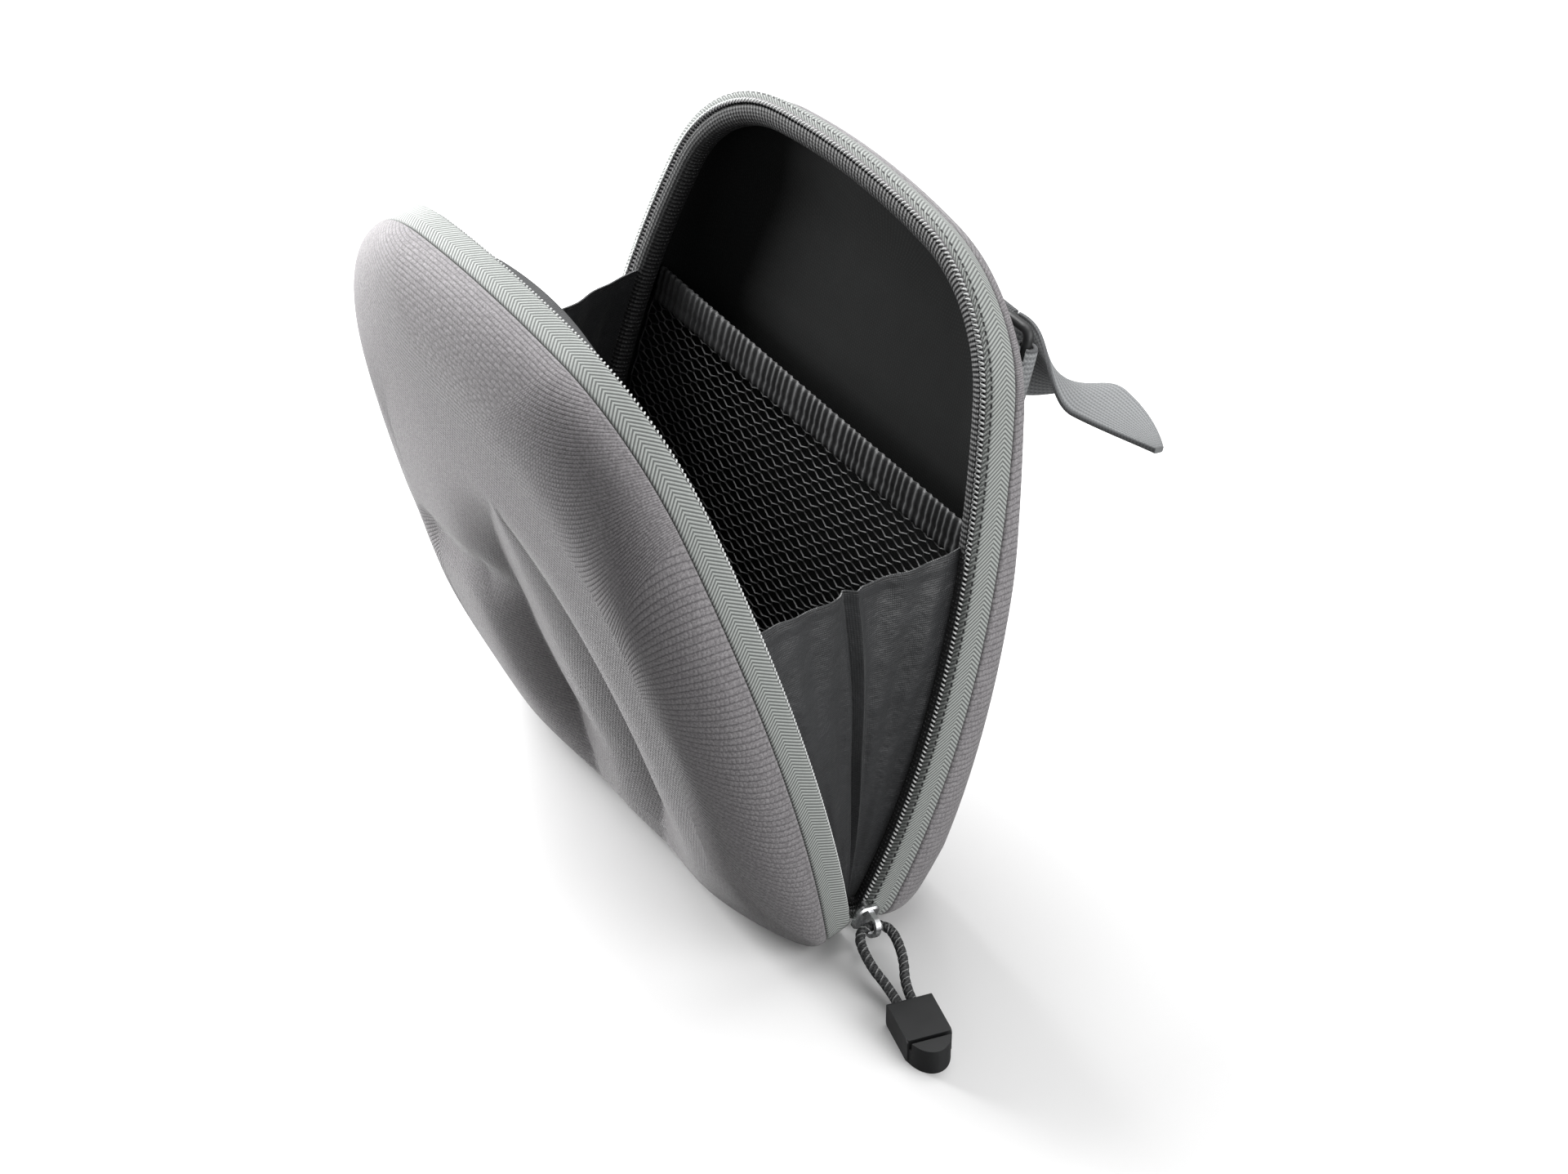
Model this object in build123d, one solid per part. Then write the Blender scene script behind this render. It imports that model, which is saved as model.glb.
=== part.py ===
"""Moulded zip case for a pair of binoculars, standing open.

Two moulded half shells stand in a V on their rounded lower edges, joined by a cloth hinge
along the bottom and by a cloth gusset on each side. Each half has its own flat drawing
frame: x across the case, s up along the rim plane and d outwards into the depth of the
half. front_place and rear_place stand the halves up about the hinge line, which is the x
axis. Lengths are in millimetres. The finished case is moved so that it stands on z = 0.
"""
from build123d import *
import os
from math import atan2, cos, hypot, radians, sin, sqrt, tan

# Outline of the zip line, shared by both halves
zip_width = 182.6            # across the widest point
zip_height = 206.0           # hinge line to the crown
widest_height = 77.0         # height of the widest point
side_radius = 310.0
crown_radius = 260.0
top_corner_radius = 50.0
bottom_corner_radius = 10.0

# How the halves stand
open_angle = 30.0            # between the two rim planes, gussets taut
rim_gap = 3.0                # between the two rims when the case is shut
reach_tolerance = 1e-4       # both halves reach the ground to within this

# Shells
front_depth = 28.0
rear_depth = 27.0
front_rounding = 17.4        # width of the rounding at the lower edge of the front face
front_face_drop = 8.0        # the face sits this much nearer the hinge than the rim
rear_face_drop = 0.0
rounding_flatness = 0.7      # depth of a rounding over its width at the sides
shell_wall = 3.2
lining_thickness = 0.8
rim_band = 8.6               # straight rim that carries the zip tape
rim_proud = 1.0              # rim outside of the zip line
wall_bulge = 2.4             # fullest part of the wall outside of the zip line
lower_corner_growth = 1.1    # how fast the lower corners open out over the rounding
upper_corner_growth = 0.2    # likewise the upper corners
corner_reach = 1.25          # most that a top corner's radius is over its half of the crown
rounding_angles = (0, 20, 40, 60, 78, 90)

# Sculpted front face: a leaf with a low spine, sunk between two pads
leaf_half_width = 31.0       # the creases lie on the edge of the leaf
leaf_half_length = 100.0
leaf_middle_height = 68.0
leaf_depth = 8.0             # of the creases, at the hinge end
leaf_fade = 2.2              # power of the fade towards the tip of the leaf
leaf_stations = (-12, 14, 40, 66, 92, 114, 130, 142, 152, 165)
pad_flank = 28.0             # width of the pads' inner slopes
spine_drop = 0.75            # sinking of the spine over that of the creases, at the hinge
spine_rise_height = 110.0    # the spine is back at the face at this height
face_margin = 0.3            # what shapes the face starts this far above it

# Zip, tapes and hinge
tape_thickness = 1.3
tape_width = 8.4
teeth_width = 1.7
teeth_height = 1.2
inner_tape_thickness = 0.9
inner_tape_width = 8.4
hinge_end = 73.0             # half length of the cloth hinge
tape_end_gap = 0.4
stop_length = 2.5
soft_gap = 0.3               # between sewn soft pieces and what they lie on

# Zip guard lip inside the crown of the front half
lip_half_length = 48.0
lip_rise = 7.0               # stands this far beyond the rim
lip_seat = 8.0               # reaches this far into the shell
lip_thickness = 2.4

# Gussets
gusset_height = 128.0
gusset_foot = 7.0
gusset_thickness = 0.9
gusset_margin = 7.0          # sewn margin inside each rim

# Mesh pocket in the rear half
pocket_height = 127.0
pocket_depth = 9.8           # from the rim plane to the mesh
pocket_thickness = 0.9
pocket_band = 11.0           # gathered band along the top of the mesh
pocket_band_thickness = 0.7

# Hand strap on the back
strap_width = 25.0
strap_thickness = 2.0
strap_height = 162.0
strap_gap = 10.0             # clear of the back for a hand or a belt
strap_left = -58.0
strap_sewn = 18.0            # length sewn down at the left end
strap_ramp = 18.0
strap_right = 40.0           # where the free tail begins
patch_thickness = 0.9
patch_border = 2.5
loop_tape_length = 46.0
loop_tape_thickness = 0.8
tail_length = 54.0           # along the width of the case
tail_end_gap = 0.3
tail_rise = 14.0             # the tail stands off further towards its tip
tail_drop = 4.0
tail_twist = 95.0            # the tail turns its outer side upwards
tail_tip_width = 6.0
tail_stations = 7
ring_wire = 3.0
ring_pitch = 11.0            # between the two long bars
ring_corner = 2.5
ring_play = 0.3
tab_bar_x = 55.0             # the bar that the tab holds
tab_width = 20.0
tab_thickness = 1.8
tab_foot = 9.0               # sewn length beside the bar

# Zip slider and its pull
slider_height = 6.0          # up the side from the hinge line
slider_length = 9.0
slider_corner = 2.4
slider_keel_setback = 1.5    # the keel is this much shorter than the plate
slider_width = 7.6
slider_plate = 1.5
slider_keel = 2.2
slider_clearance = 0.3
bail_wall = 1.2              # round the hole of the eye
bail_thickness = 1.8
bail_hole = 4.4
cord_diameter = 3.0
pull_heading = -14.0         # degrees from +x, seen from above
cord_end_length = 23.0
cord_end_rounding = 1.2
cord_end_width = 13.5
cord_end_height = 8.4
cord_end_start = 29.0        # from the bail to the mouth of the cord end
cord_end_slot = 1.4
cord_end_slot_from_tip = 6.0
cord_end_slot_depth = 3.2

half_angle = radians(open_angle / 2)


def lowest_reach(depth, lower_rounding, face_drop):
    """How far below the hinge line a half reaches when it stands at its angle."""
    fall = (lower_rounding + face_drop) * rounding_flatness
    centre_s = lower_rounding - wall_bulge
    centre_d = depth - fall + rim_gap / 2
    radius = hypot(lower_rounding * cos(half_angle), fall * sin(half_angle))
    return radius + centre_d * sin(half_angle) - centre_s * cos(half_angle)


def rounding_that_reaches(depth, face_drop, reach):
    """Lower rounding with which a half of this depth reaches as far down."""
    sharp, soft = wall_bulge, zip_height / 4
    while soft - sharp > reach_tolerance:
        middle = (sharp + soft) / 2
        if lowest_reach(depth, middle, face_drop) > reach:
            sharp = middle
        else:
            soft = middle
    return sharp


ground_drop = lowest_reach(front_depth, front_rounding, front_face_drop)
rear_rounding = rounding_that_reaches(rear_depth, rear_face_drop, ground_drop)


def half_place(side):
    """Frame of one half: side is -1 for the front and 1 for the rear."""
    outwards = Vector(0, side * cos(half_angle), -sin(half_angle))
    return Plane(origin=outwards * (rim_gap / 2), x_dir=(-side, 0, 0), z_dir=outwards).location


front_place = half_place(-1)
rear_place = half_place(1)


# ---------------------------------------------------------------- outlines and forms

def side_x(inset, height):
    """Half width of the zip line, moved in by inset, at a height on the side arc."""
    radius = side_radius - inset
    return zip_width / 2 - inset - radius + sqrt(radius**2 - (height - widest_height) ** 2)


def top_corner(inset):
    """Where the side arc meets the crown arc, before the corner is rounded."""
    radius = crown_radius - inset
    centre = zip_height - inset - radius
    x = zip_width / 2
    for _ in range(30):
        y = centre + sqrt(radius**2 - x**2)
        x = side_x(inset, y)
    return x, y


def outline(inset, top_radius=None, bottom_radius=None):
    """The zip line moved in by inset, or out by a negative one."""
    top_radius = top_corner_radius - inset if top_radius is None else top_radius
    bottom_radius = bottom_corner_radius - inset if bottom_radius is None else bottom_radius
    foot = side_x(inset, inset)
    corner_x, corner_y = top_corner(inset)
    widest = zip_width / 2 - inset
    top_radius = min(top_radius, corner_reach * corner_x)
    with BuildSketch() as sketch:
        with BuildLine():
            Line((-foot, inset), (foot, inset))
            ThreePointArc((foot, inset), (widest, widest_height), (corner_x, corner_y))
            ThreePointArc((corner_x, corner_y), (0, zip_height - inset), (-corner_x, corner_y))
            ThreePointArc((-corner_x, corner_y), (-widest, widest_height), (-foot, inset))
        make_face()
        corners = sketch.vertices().sort_by(Axis.Y)
        fillet(corners[:2], bottom_radius)
        fillet(sketch.vertices().sort_by(Axis.Y)[-2:], top_radius)
    return sketch.sketch


def ring(outer_inset, inner_inset, low, high):
    """A band that follows the zip line, between two insets and two depths."""
    band = outline(outer_inset) - outline(inner_inset)
    return Pos(0, 0, low) * extrude(band, high - low)


def block(x_low, x_high, s_low, s_high, d_low, d_high):
    """A box between two corners."""
    size = Box(x_high - x_low, s_high - s_low, d_high - d_low)
    return Pos((x_low + x_high) / 2, (s_low + s_high) / 2, (d_low + d_high) / 2) * size


def off_hinge(band, end):
    """Take away the part of a band that runs along the hinge."""
    reach = 2 * (wall_bulge + bottom_corner_radius)
    depth = 2 * (rim_band + rim_gap)
    return band - block(-end, end, -reach, bottom_corner_radius / 2, -depth, depth)


def body_form(depth, lower_rounding, face_drop, inwards):
    """The moulded half as a solid, with its skin moved in by inwards."""
    rim_inset = inwards - rim_proud
    shoulder_inset = rim_inset - (tape_thickness if inwards == 0 else 0)
    rounding = lower_rounding + face_drop
    across = rounding - inwards
    down = rounding * rounding_flatness - inwards
    wide_inset = inwards - wall_bulge

    def section(inset, opened, dropped, level):
        return Pos(0, -dropped, level) * outline(
            inset,
            top_corner_radius - wide_inset + upper_corner_growth * opened,
            bottom_corner_radius - wide_inset + lower_corner_growth * opened,
        )

    sections = [section(shoulder_inset, 0, 0, rim_band)]
    for angle in rounding_angles:
        share = 1 - cos(radians(angle))
        level = depth - inwards - down * (1 - sin(radians(angle)))
        opened = across * share
        sections.append(section(wide_inset + opened, opened, face_drop * share, level))
    rim = extrude(outline(rim_inset), rim_band)
    return rim + loft(sections)


def leaf_width_at(height):
    """Half width of the leaf, on an ellipse that closes above the middle of the face."""
    share = min((height - leaf_middle_height) / leaf_half_length, 0.98)
    return leaf_half_width * sqrt(1 - share**2)


def leaf_depth_at(height):
    """Depth of the creases below the face."""
    tip = leaf_middle_height + leaf_half_length
    return leaf_depth * (1 - (max(height, 0) / tip) ** leaf_fade)


def leaf_tool(inwards):
    """What the leaf takes out of the front form, with its skin moved in by inwards."""
    face = front_depth - inwards
    edge = face + face_margin
    top = front_depth + leaf_depth
    side = leaf_half_width + pad_flank + face_margin
    sections = []
    for height in leaf_stations:
        crease = leaf_width_at(height)
        pad = crease + pad_flank
        low = face - leaf_depth_at(height)
        spine = face - leaf_depth_at(height) * spine_drop * max(0, 1 - height / spine_rise_height)
        with BuildSketch(Plane.XZ.offset(-height)) as sketch:
            with BuildLine():
                Line((-side, edge), (-pad, edge))
                Bezier((-pad, edge), (-(crease + pad) / 2, edge), (-crease, low))
                Bezier((-crease, low), (-crease / 2, spine), (0, spine))
                Bezier((0, spine), (crease / 2, spine), (crease, low))
                Bezier((crease, low), ((crease + pad) / 2, edge), (pad, edge))
                Polyline((pad, edge), (side, edge), (side, top), (-side, top), (-side, edge))
            make_face()
        sections.append(sketch.sketch)
    return loft(sections)


def front_form(inwards):
    """The front half as a solid, with its skin moved in by inwards."""
    return body_form(front_depth, front_rounding, front_face_drop, inwards) - leaf_tool(inwards)


def rear_form(inwards):
    """The rear half as a solid, with its skin moved in by inwards."""
    return body_form(rear_depth, rear_rounding, rear_face_drop, inwards)


# ---------------------------------------------------------------- the two halves

def shell(form):
    """Moulded foam shell with its laminated cloth, open at the rim."""
    return form(0) - form(shell_wall)


def lining(form):
    """Smooth cloth lining bonded to the inside of a shell."""
    return form(shell_wall) - form(shell_wall + lining_thickness)


def zip_tape():
    """Woven tape round the rim, seated on the step that the shell leaves for it."""
    band = ring(-rim_proud - tape_thickness, -rim_proud, 0, tape_width)
    return off_hinge(band, hinge_end + tape_end_gap)


def zip_teeth():
    """The coil along the edge of the rim, as one bead."""
    band = ring(0, teeth_width, -teeth_height, 0)
    return off_hinge(band, hinge_end + tape_end_gap + stop_length)


def zip_stops():
    """Crimped stops at the two ends of the coil."""
    length = stop_length - tape_end_gap
    stops = []
    for end in (-1, 1):
        centre = end * (hinge_end + tape_end_gap + length / 2)
        stop = block(centre - length / 2, centre + length / 2, 0, teeth_width, -teeth_height, 0)
        stops.append(fillet(stop.faces().sort_by(Axis.Z)[0].edges(), teeth_height / 4))
    return Compound(children=stops)


def inner_tape():
    """Ribbed binding that covers the edge of the lining inside the rim."""
    seat = shell_wall + lining_thickness - rim_proud
    band = ring(seat, seat + inner_tape_thickness, 0, inner_tape_width)
    return off_hinge(band, hinge_end + tape_end_gap)


inner_face = shell_wall + lining_thickness - rim_proud + inner_tape_thickness + soft_gap


def zip_guard_lip():
    """Crescent lip inside the crown, which keeps the coil off the contents."""
    band = ring(inner_face, inner_face + lip_thickness, -lip_rise, lip_seat)
    with BuildSketch(Plane.XZ) as sketch:
        with BuildLine():
            ThreePointArc((-lip_half_length, 0), (0, -lip_rise), (lip_half_length, 0))
            ThreePointArc((lip_half_length, 0), (0, lip_seat), (-lip_half_length, 0))
        make_face()
    crown = Pos(0, zip_height + wall_bulge, 0) * extrude(sketch.sketch, zip_height / 2)
    return band & crown


def gusset_profile(side):
    """Section of a gusset in the middle plane: a strip that follows the side."""
    strip = outline(inner_face) - outline(inner_face + gusset_thickness)
    height = gusset_height - gusset_foot
    reach = zip_width / 2
    window = Pos(side * reach * 0.75, gusset_foot + height / 2) * Rectangle(reach * 0.5, height)
    return strip & window


def gusset(side):
    """Side gusset: a fan about the hinge line with a sewn margin inside each rim."""
    profile = gusset_profile(side)
    upright = Plane(origin=(0, 0, 0), x_dir=(1, 0, 0), z_dir=(0, -1, 0)).location * profile
    start = Rot(-open_angle / 2, 0, 0) * upright
    fan = revolve(start, Axis.X, open_angle)
    margin = extrude(Pos(0, 0, -rim_gap / 2) * profile, gusset_margin + rim_gap / 2)
    mirrored = extrude(Pos(0, 0, -rim_gap / 2) * gusset_profile(-side), gusset_margin + rim_gap / 2)
    cloth = fan + front_place * margin + rear_place * mirrored
    hem = gusset_height * cos(half_angle)
    above = block(-zip_width, zip_width, -zip_height, zip_height, hem, zip_height * 2)
    return cloth - above


def mesh_pocket():
    """Open mesh panel across the lower part of the rear half."""
    edge = shell_wall + lining_thickness - rim_proud + soft_gap
    panel = extrude(outline(edge), pocket_thickness)
    above = block(-zip_width, zip_width, pocket_height, zip_height * 2, -1, pocket_thickness + 1)
    return Pos(0, 0, pocket_depth) * (panel - above)


def pocket_band_piece():
    """Gathered band along the mouth of the mesh pocket."""
    edge = shell_wall + lining_thickness - rim_proud + soft_gap
    panel = extrude(outline(edge), pocket_band_thickness)
    low = pocket_height - pocket_band
    window = block(-zip_width, zip_width, low, pocket_height, -1, pocket_band_thickness + 1)
    return Pos(0, 0, pocket_depth - pocket_band_thickness) * (panel & window)


def hinge_strip():
    """Cloth hinge: a wing under each rim and the fold between them."""
    outer = -rim_proud - tape_thickness

    def corner(side, s, d):
        out = d + rim_gap / 2
        return side * (s * sin(half_angle) + out * cos(half_angle)), s * cos(half_angle) - out * sin(half_angle)

    points = [corner(-1, outer, tape_width), corner(-1, outer, 0), corner(1, outer, 0)]
    points += [corner(1, outer, tape_width), corner(1, -rim_proud, tape_width)]
    points += [corner(1, -rim_proud, 0), corner(-1, -rim_proud, 0), corner(-1, -rim_proud, tape_width)]
    with BuildSketch(Plane.YZ.offset(-hinge_end)) as sketch:
        with BuildLine():
            Polyline(*points, close=True)
        make_face()
    return extrude(sketch.sketch, 2 * hinge_end)


# ---------------------------------------------------------------- strap on the back

strap_inner = rear_depth + strap_gap
strap_outer = strap_inner + strap_thickness
bar_level = rear_depth + tab_thickness + ring_play + ring_wire / 2


def across_back(width):
    """Drawing plane for a profile in x and d that is extruded across a webbing."""
    return Plane(origin=(0, strap_height + width / 2, 0), x_dir=(-1, 0, 0), z_dir=(0, 1, 0))


def webbing(profile_points, width):
    """Webbing with a profile of x and d points, centred on the strap's height."""
    with BuildSketch(across_back(width)) as sketch:
        with BuildLine():
            Polyline(*profile_points, close=True)
        make_face()
    return extrude(sketch.sketch, -width)


def hand_strap():
    """Strap that is sewn down at its left end and stands off the back."""
    sewn_end = strap_left + strap_sewn
    risen = sewn_end + strap_ramp
    low = rear_depth
    bend = strap_thickness * tan(atan2(strap_gap, strap_ramp) / 2)
    points = [(strap_left, low), (sewn_end, low), (risen, strap_inner), (strap_right, strap_inner)]
    points += [(strap_right, strap_outer), (risen - bend, strap_outer)]
    points += [(sewn_end - bend, low + strap_thickness), (strap_left, low + strap_thickness)]
    return webbing(points, strap_width)


def anchor_patch():
    """Stitched patch over the sewn end of the strap."""
    low = rear_depth + strap_thickness
    left = strap_left
    right = strap_left + strap_sewn - patch_border
    points = [(left, low), (right, low), (right, low + patch_thickness), (left, low + patch_thickness)]
    return webbing(points, strap_width - patch_border)


def loop_tape():
    """Soft half of the hook and loop closure, on the inside of the strap."""
    left = strap_right - loop_tape_length
    low = strap_inner - loop_tape_thickness
    points = [(left, low), (strap_right, low), (strap_right, strap_inner), (left, strap_inner)]
    return webbing(points, strap_width - patch_border)


def tail_centre(along):
    """Middle of the tail in the rear half's frame, along from 0 to 1."""
    settled = 1 - (1 - along) ** 2
    x = strap_right + tail_end_gap + tail_length * along
    middle = (strap_inner + strap_outer) / 2
    return Vector(-x, strap_height - tail_drop * along, middle + tail_rise * settled)


def tail_ribbon(width, low, high):
    """Twisted ribbon along the tail, between two offsets out from the strap's middle."""
    sections = []
    for station in range(tail_stations):
        along = station / (tail_stations - 1)
        heading = (tail_centre(along + 0.01) - tail_centre(along - 0.01)).normalized()
        twist = radians(tail_twist * (1 - (1 - along) ** 2))
        outwards = Vector(0, sin(twist), cos(twist))
        outwards = outwards - heading * outwards.dot(heading)
        plane = Plane(origin=tail_centre(along), x_dir=outwards, z_dir=heading)
        taper = 1 - (1 - tail_tip_width / strap_width) * along**4
        with BuildSketch(plane) as sketch:
            with Locations(((low + high) / 2, 0)):
                Rectangle(high - low, width * taper)
        sections.append(sketch.sketch)
    return loft(sections)


def strap_tail():
    """Free end of the strap, which turns over and stands away from the back."""
    ribbon = tail_ribbon(strap_width, -strap_thickness / 2, strap_thickness / 2)
    root = strap_right + tail_end_gap
    beside = block(-root, 0, 0, zip_height, rear_depth, 2 * strap_outer)
    return ribbon - beside


def strap_ring():
    """Rounded wire ring: one long bar in the tab, the other free."""
    length = strap_width + ring_wire + 2 * ring_play
    centre = (ring_pitch / 2 - tab_bar_x, strap_height, bar_level)
    path = (Plane(origin=centre) * RectangleRounded(ring_pitch, length, ring_corner)).wire()
    start = Plane(origin=path @ 0, z_dir=path % 0)
    return sweep(start * Circle(ring_wire / 2), path)


def ring_tab():
    """Webbing tab that holds the ring's bar, with its foot sewn onto the shoulder."""
    inner = ring_wire / 2 + ring_play
    layer = rear_form(-tab_thickness) - rear_form(0)
    foot = layer & block(
        -tab_bar_x - tab_foot, -tab_bar_x, strap_height - tab_width / 2, strap_height + tab_width / 2,
        rear_depth / 2, rear_depth + tab_thickness,
    )
    with BuildSketch(across_back(tab_width)) as sketch:
        with Locations((tab_bar_x, bar_level)):
            Circle(inner + tab_thickness)
            Circle(inner, mode=Mode.SUBTRACT)
    return extrude(sketch.sketch, -tab_width) + foot


# ---------------------------------------------------------------- zip slider and pull

side_centre = Vector(zip_width / 2 - side_radius, 0, widest_height)
slider_place = Rot(-open_angle / 2, 0, 0)           # in line with the rear half's rim
slider_turn = atan2(slider_height - widest_height, sqrt(side_radius**2 - (slider_height - widest_height) ** 2))
slider_out = Vector(cos(slider_turn), 0, sin(slider_turn))
slider_along = Vector(-sin(slider_turn), 0, cos(slider_turn))
plate_low = rim_proud + tape_thickness + slider_clearance
bail_eye = plate_low + slider_plate + bail_wall / 2 + bail_hole / 2


def slider_point(out):
    """A point on the slider's centre line, out from the zip line."""
    return side_centre + slider_out * (side_radius + out)


def zip_slider():
    """Slider: a plate outside the tapes, a keel between the rims and an eye for the cord."""
    frame = Plane(origin=slider_point(0), x_dir=slider_along, z_dir=slider_out).location
    plate = extrude(RectangleRounded(slider_length, slider_width, slider_corner), slider_plate)
    plate = Pos(0, 0, plate_low) * plate
    plate = chamfer(plate.faces().sort_by(Axis.Z)[-1].edges(), slider_plate / 3)
    keel = Pos(0, 0, slider_clearance) * extrude(
        SlotOverall(slider_length - slider_keel_setback, slider_keel), plate_low - slider_clearance
    )
    bail_radius = bail_hole / 2 + bail_wall
    with BuildSketch(Plane.XZ) as sketch:
        with Locations((0, (plate_low + bail_eye) / 2)):
            Rectangle(2 * bail_radius, bail_eye - plate_low)
        with Locations((0, bail_eye)):
            Circle(bail_radius)
            Circle(bail_hole / 2, mode=Mode.SUBTRACT)
    bail = Pos(0, bail_thickness / 2, 0) * extrude(sketch.sketch, bail_thickness)
    return slider_place * frame * (plate + keel + bail)


bail_centre = (slider_place * Pos(*slider_point(bail_eye))).position
pull_direction = Vector(cos(radians(pull_heading)), sin(radians(pull_heading)), 0)
pull_across = Vector(-sin(radians(pull_heading)), cos(radians(pull_heading)), 0)
end_level = -ground_drop + cord_end_height / 2      # the cord end lies on the ground


def pull_point(out, across, level):
    """A point of the pull: out from the bail, across, and at a height."""
    point = bail_centre + pull_direction * out + pull_across * across
    return Vector(point.X, point.Y, level)


def cord_route():
    """The cord's route: out of the cord end, through the bail's eye and back."""
    eye = bail_centre.Z
    drop = end_level - eye
    strand = [(cord_end_start, 2.1, end_level), (21, 2.1, end_level)]
    strand += [(11.5, 5.4, eye + 0.45 * drop), (0, 5.0, eye)]
    first = [pull_point(out, -across, level) for out, across, level in strand]
    second = [pull_point(out, across, level) for out, across, level in reversed(strand)]
    return first + second


def route_radii(points):
    """Bend radius at each inner point: as large as the two runs beside it allow."""
    radii = []
    for before, here, after in zip(points, points[1:], points[2:]):
        turn = radians((here - before).get_angle(after - here))
        shorter = min((here - before).length, (after - here).length)
        radii.append(0.45 * shorter / tan(turn / 2))
    return radii


def pull_cord():
    """Braided cord of the pull, one loop through the bail."""
    points = cord_route()
    radii = route_radii(points)
    print("cord radii", [round(radius, 1) for radius in radii])
    with BuildLine() as path:
        FilletPolyline(*points, radius=radii)
    start = Plane(origin=path.line @ 0, z_dir=path.line % 0)
    return sweep(start * Circle(cord_diameter / 2), path.line)


def pull_cord_end():
    """Moulded end that grips both ends of the cord, slotted near its round tip."""
    with BuildSketch() as sketch:
        with Locations((cord_end_length / 2 - cord_end_width / 4, 0)):
            Rectangle(cord_end_length - cord_end_width / 2, cord_end_width)
        with Locations((cord_end_length - cord_end_width * 0.75, 0)):
            Ellipse(cord_end_width * 0.75, cord_end_width / 2)
    body = Pos(0, 0, -cord_end_height / 2) * extrude(sketch.sketch, cord_end_height)
    body = fillet(body.edges().filter_by(Axis.Y), cord_end_rounding)
    slot_x = cord_end_length - cord_end_slot_from_tip
    slot = block(
        slot_x - cord_end_slot / 2, slot_x + cord_end_slot / 2, -cord_end_width, cord_end_width,
        cord_end_height / 2 - cord_end_slot_depth, cord_end_height,
    )
    frame = Plane(origin=pull_point(cord_end_start, 0, end_level), x_dir=pull_direction, z_dir=(0, 0, 1))
    return frame.location * (body - slot)


# ---------------------------------------------------------------- the whole case

def build_case():
    """Every node at its place about the hinge line."""
    nodes = {}
    for name, place, form in (("front", front_place, front_form), ("rear", rear_place, rear_form)):
        nodes[f"{name}_shell"] = place * shell(form)
        nodes[f"{name}_lining"] = place * lining(form)
        nodes[f"{name}_zip_tape"] = place * zip_tape()
        nodes[f"{name}_zip_teeth"] = place * zip_teeth()
        nodes[f"{name}_zip_stops"] = place * zip_stops()
        nodes[f"{name}_inner_tape"] = place * inner_tape()
    nodes["zip_guard_lip"] = front_place * zip_guard_lip()
    nodes["hinge_strip"] = hinge_strip()
    nodes["right_gusset"] = gusset(1)
    nodes["left_gusset"] = gusset(-1)
    nodes["mesh_pocket"] = rear_place * mesh_pocket()
    nodes["pocket_band"] = rear_place * pocket_band_piece()
    nodes["hand_strap"] = rear_place * hand_strap()
    nodes["strap_anchor_patch"] = rear_place * anchor_patch()
    nodes["strap_loop_tape"] = rear_place * loop_tape()
    nodes["ring_tab"] = rear_place * ring_tab()
    nodes["strap_ring"] = rear_place * strap_ring()
    nodes["strap_tail"] = rear_place * strap_tail()
    nodes["zip_slider"] = zip_slider()
    nodes["pull_cord"] = pull_cord()
    nodes["pull_cord_end"] = pull_cord_end()
    return nodes


def main():
    """Build the case, stand it on the ground and write one file for each node."""
    nodes = build_case()
    on_cord = ("pull_cord", "pull_cord_end", "zip_slider")
    measured = [node.bounding_box() for name, node in nodes.items() if name not in on_cord]
    low_y = min(box.min.Y for box in measured)
    high_y = max(box.max.Y for box in measured)
    stand = Pos(0, -(low_y + high_y) / 2, ground_drop)
    for name, place in (
        ("hinge line", Pos(0, 0, 0)),
        ("bail eye", Pos(*bail_centre)),
        ("bar in the tab", rear_place * Pos(-tab_bar_x, strap_height, bar_level)),
        ("root of the tail", rear_place * Pos(*tail_centre(0))),
        ("middle of the back", rear_place * Pos(0, zip_height / 2, rear_depth)),
    ):
        print(name, [round(value, 3) for value in (stand * place).position])
    os.makedirs("parts", exist_ok=True)
    for name, node in nodes.items():
        export_step(stand * node, f"parts/{name}.step")


main()
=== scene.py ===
"""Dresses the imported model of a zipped, moulded hard case.

The case stands open: a front and a rear half, joined along the bottom by a cloth hinge and at the
sides by cloth gussets. Sizes in the classes are millimetres; every mesh is laid in metres.
"""

import logging
from dataclasses import dataclass
from enum import Enum
from math import ceil, cos, pi, radians, sin
from typing import Callable, Sequence

import bpy
import numpy as np
from mathutils import Matrix, Vector


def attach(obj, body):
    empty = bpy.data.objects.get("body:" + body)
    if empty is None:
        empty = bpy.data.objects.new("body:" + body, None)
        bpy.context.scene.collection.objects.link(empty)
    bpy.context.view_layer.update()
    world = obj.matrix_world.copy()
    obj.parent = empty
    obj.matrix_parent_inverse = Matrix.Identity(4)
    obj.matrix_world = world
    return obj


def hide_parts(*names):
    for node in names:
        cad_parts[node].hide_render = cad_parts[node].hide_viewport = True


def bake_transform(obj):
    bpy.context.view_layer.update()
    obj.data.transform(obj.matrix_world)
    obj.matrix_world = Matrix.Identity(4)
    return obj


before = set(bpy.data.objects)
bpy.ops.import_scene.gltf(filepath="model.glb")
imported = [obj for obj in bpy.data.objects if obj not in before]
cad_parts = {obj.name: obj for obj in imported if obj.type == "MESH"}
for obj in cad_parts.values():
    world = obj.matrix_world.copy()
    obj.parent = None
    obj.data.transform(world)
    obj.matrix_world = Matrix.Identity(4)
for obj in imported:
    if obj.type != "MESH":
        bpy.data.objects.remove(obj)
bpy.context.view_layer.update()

log = logging.getLogger("hard_case")

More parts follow.
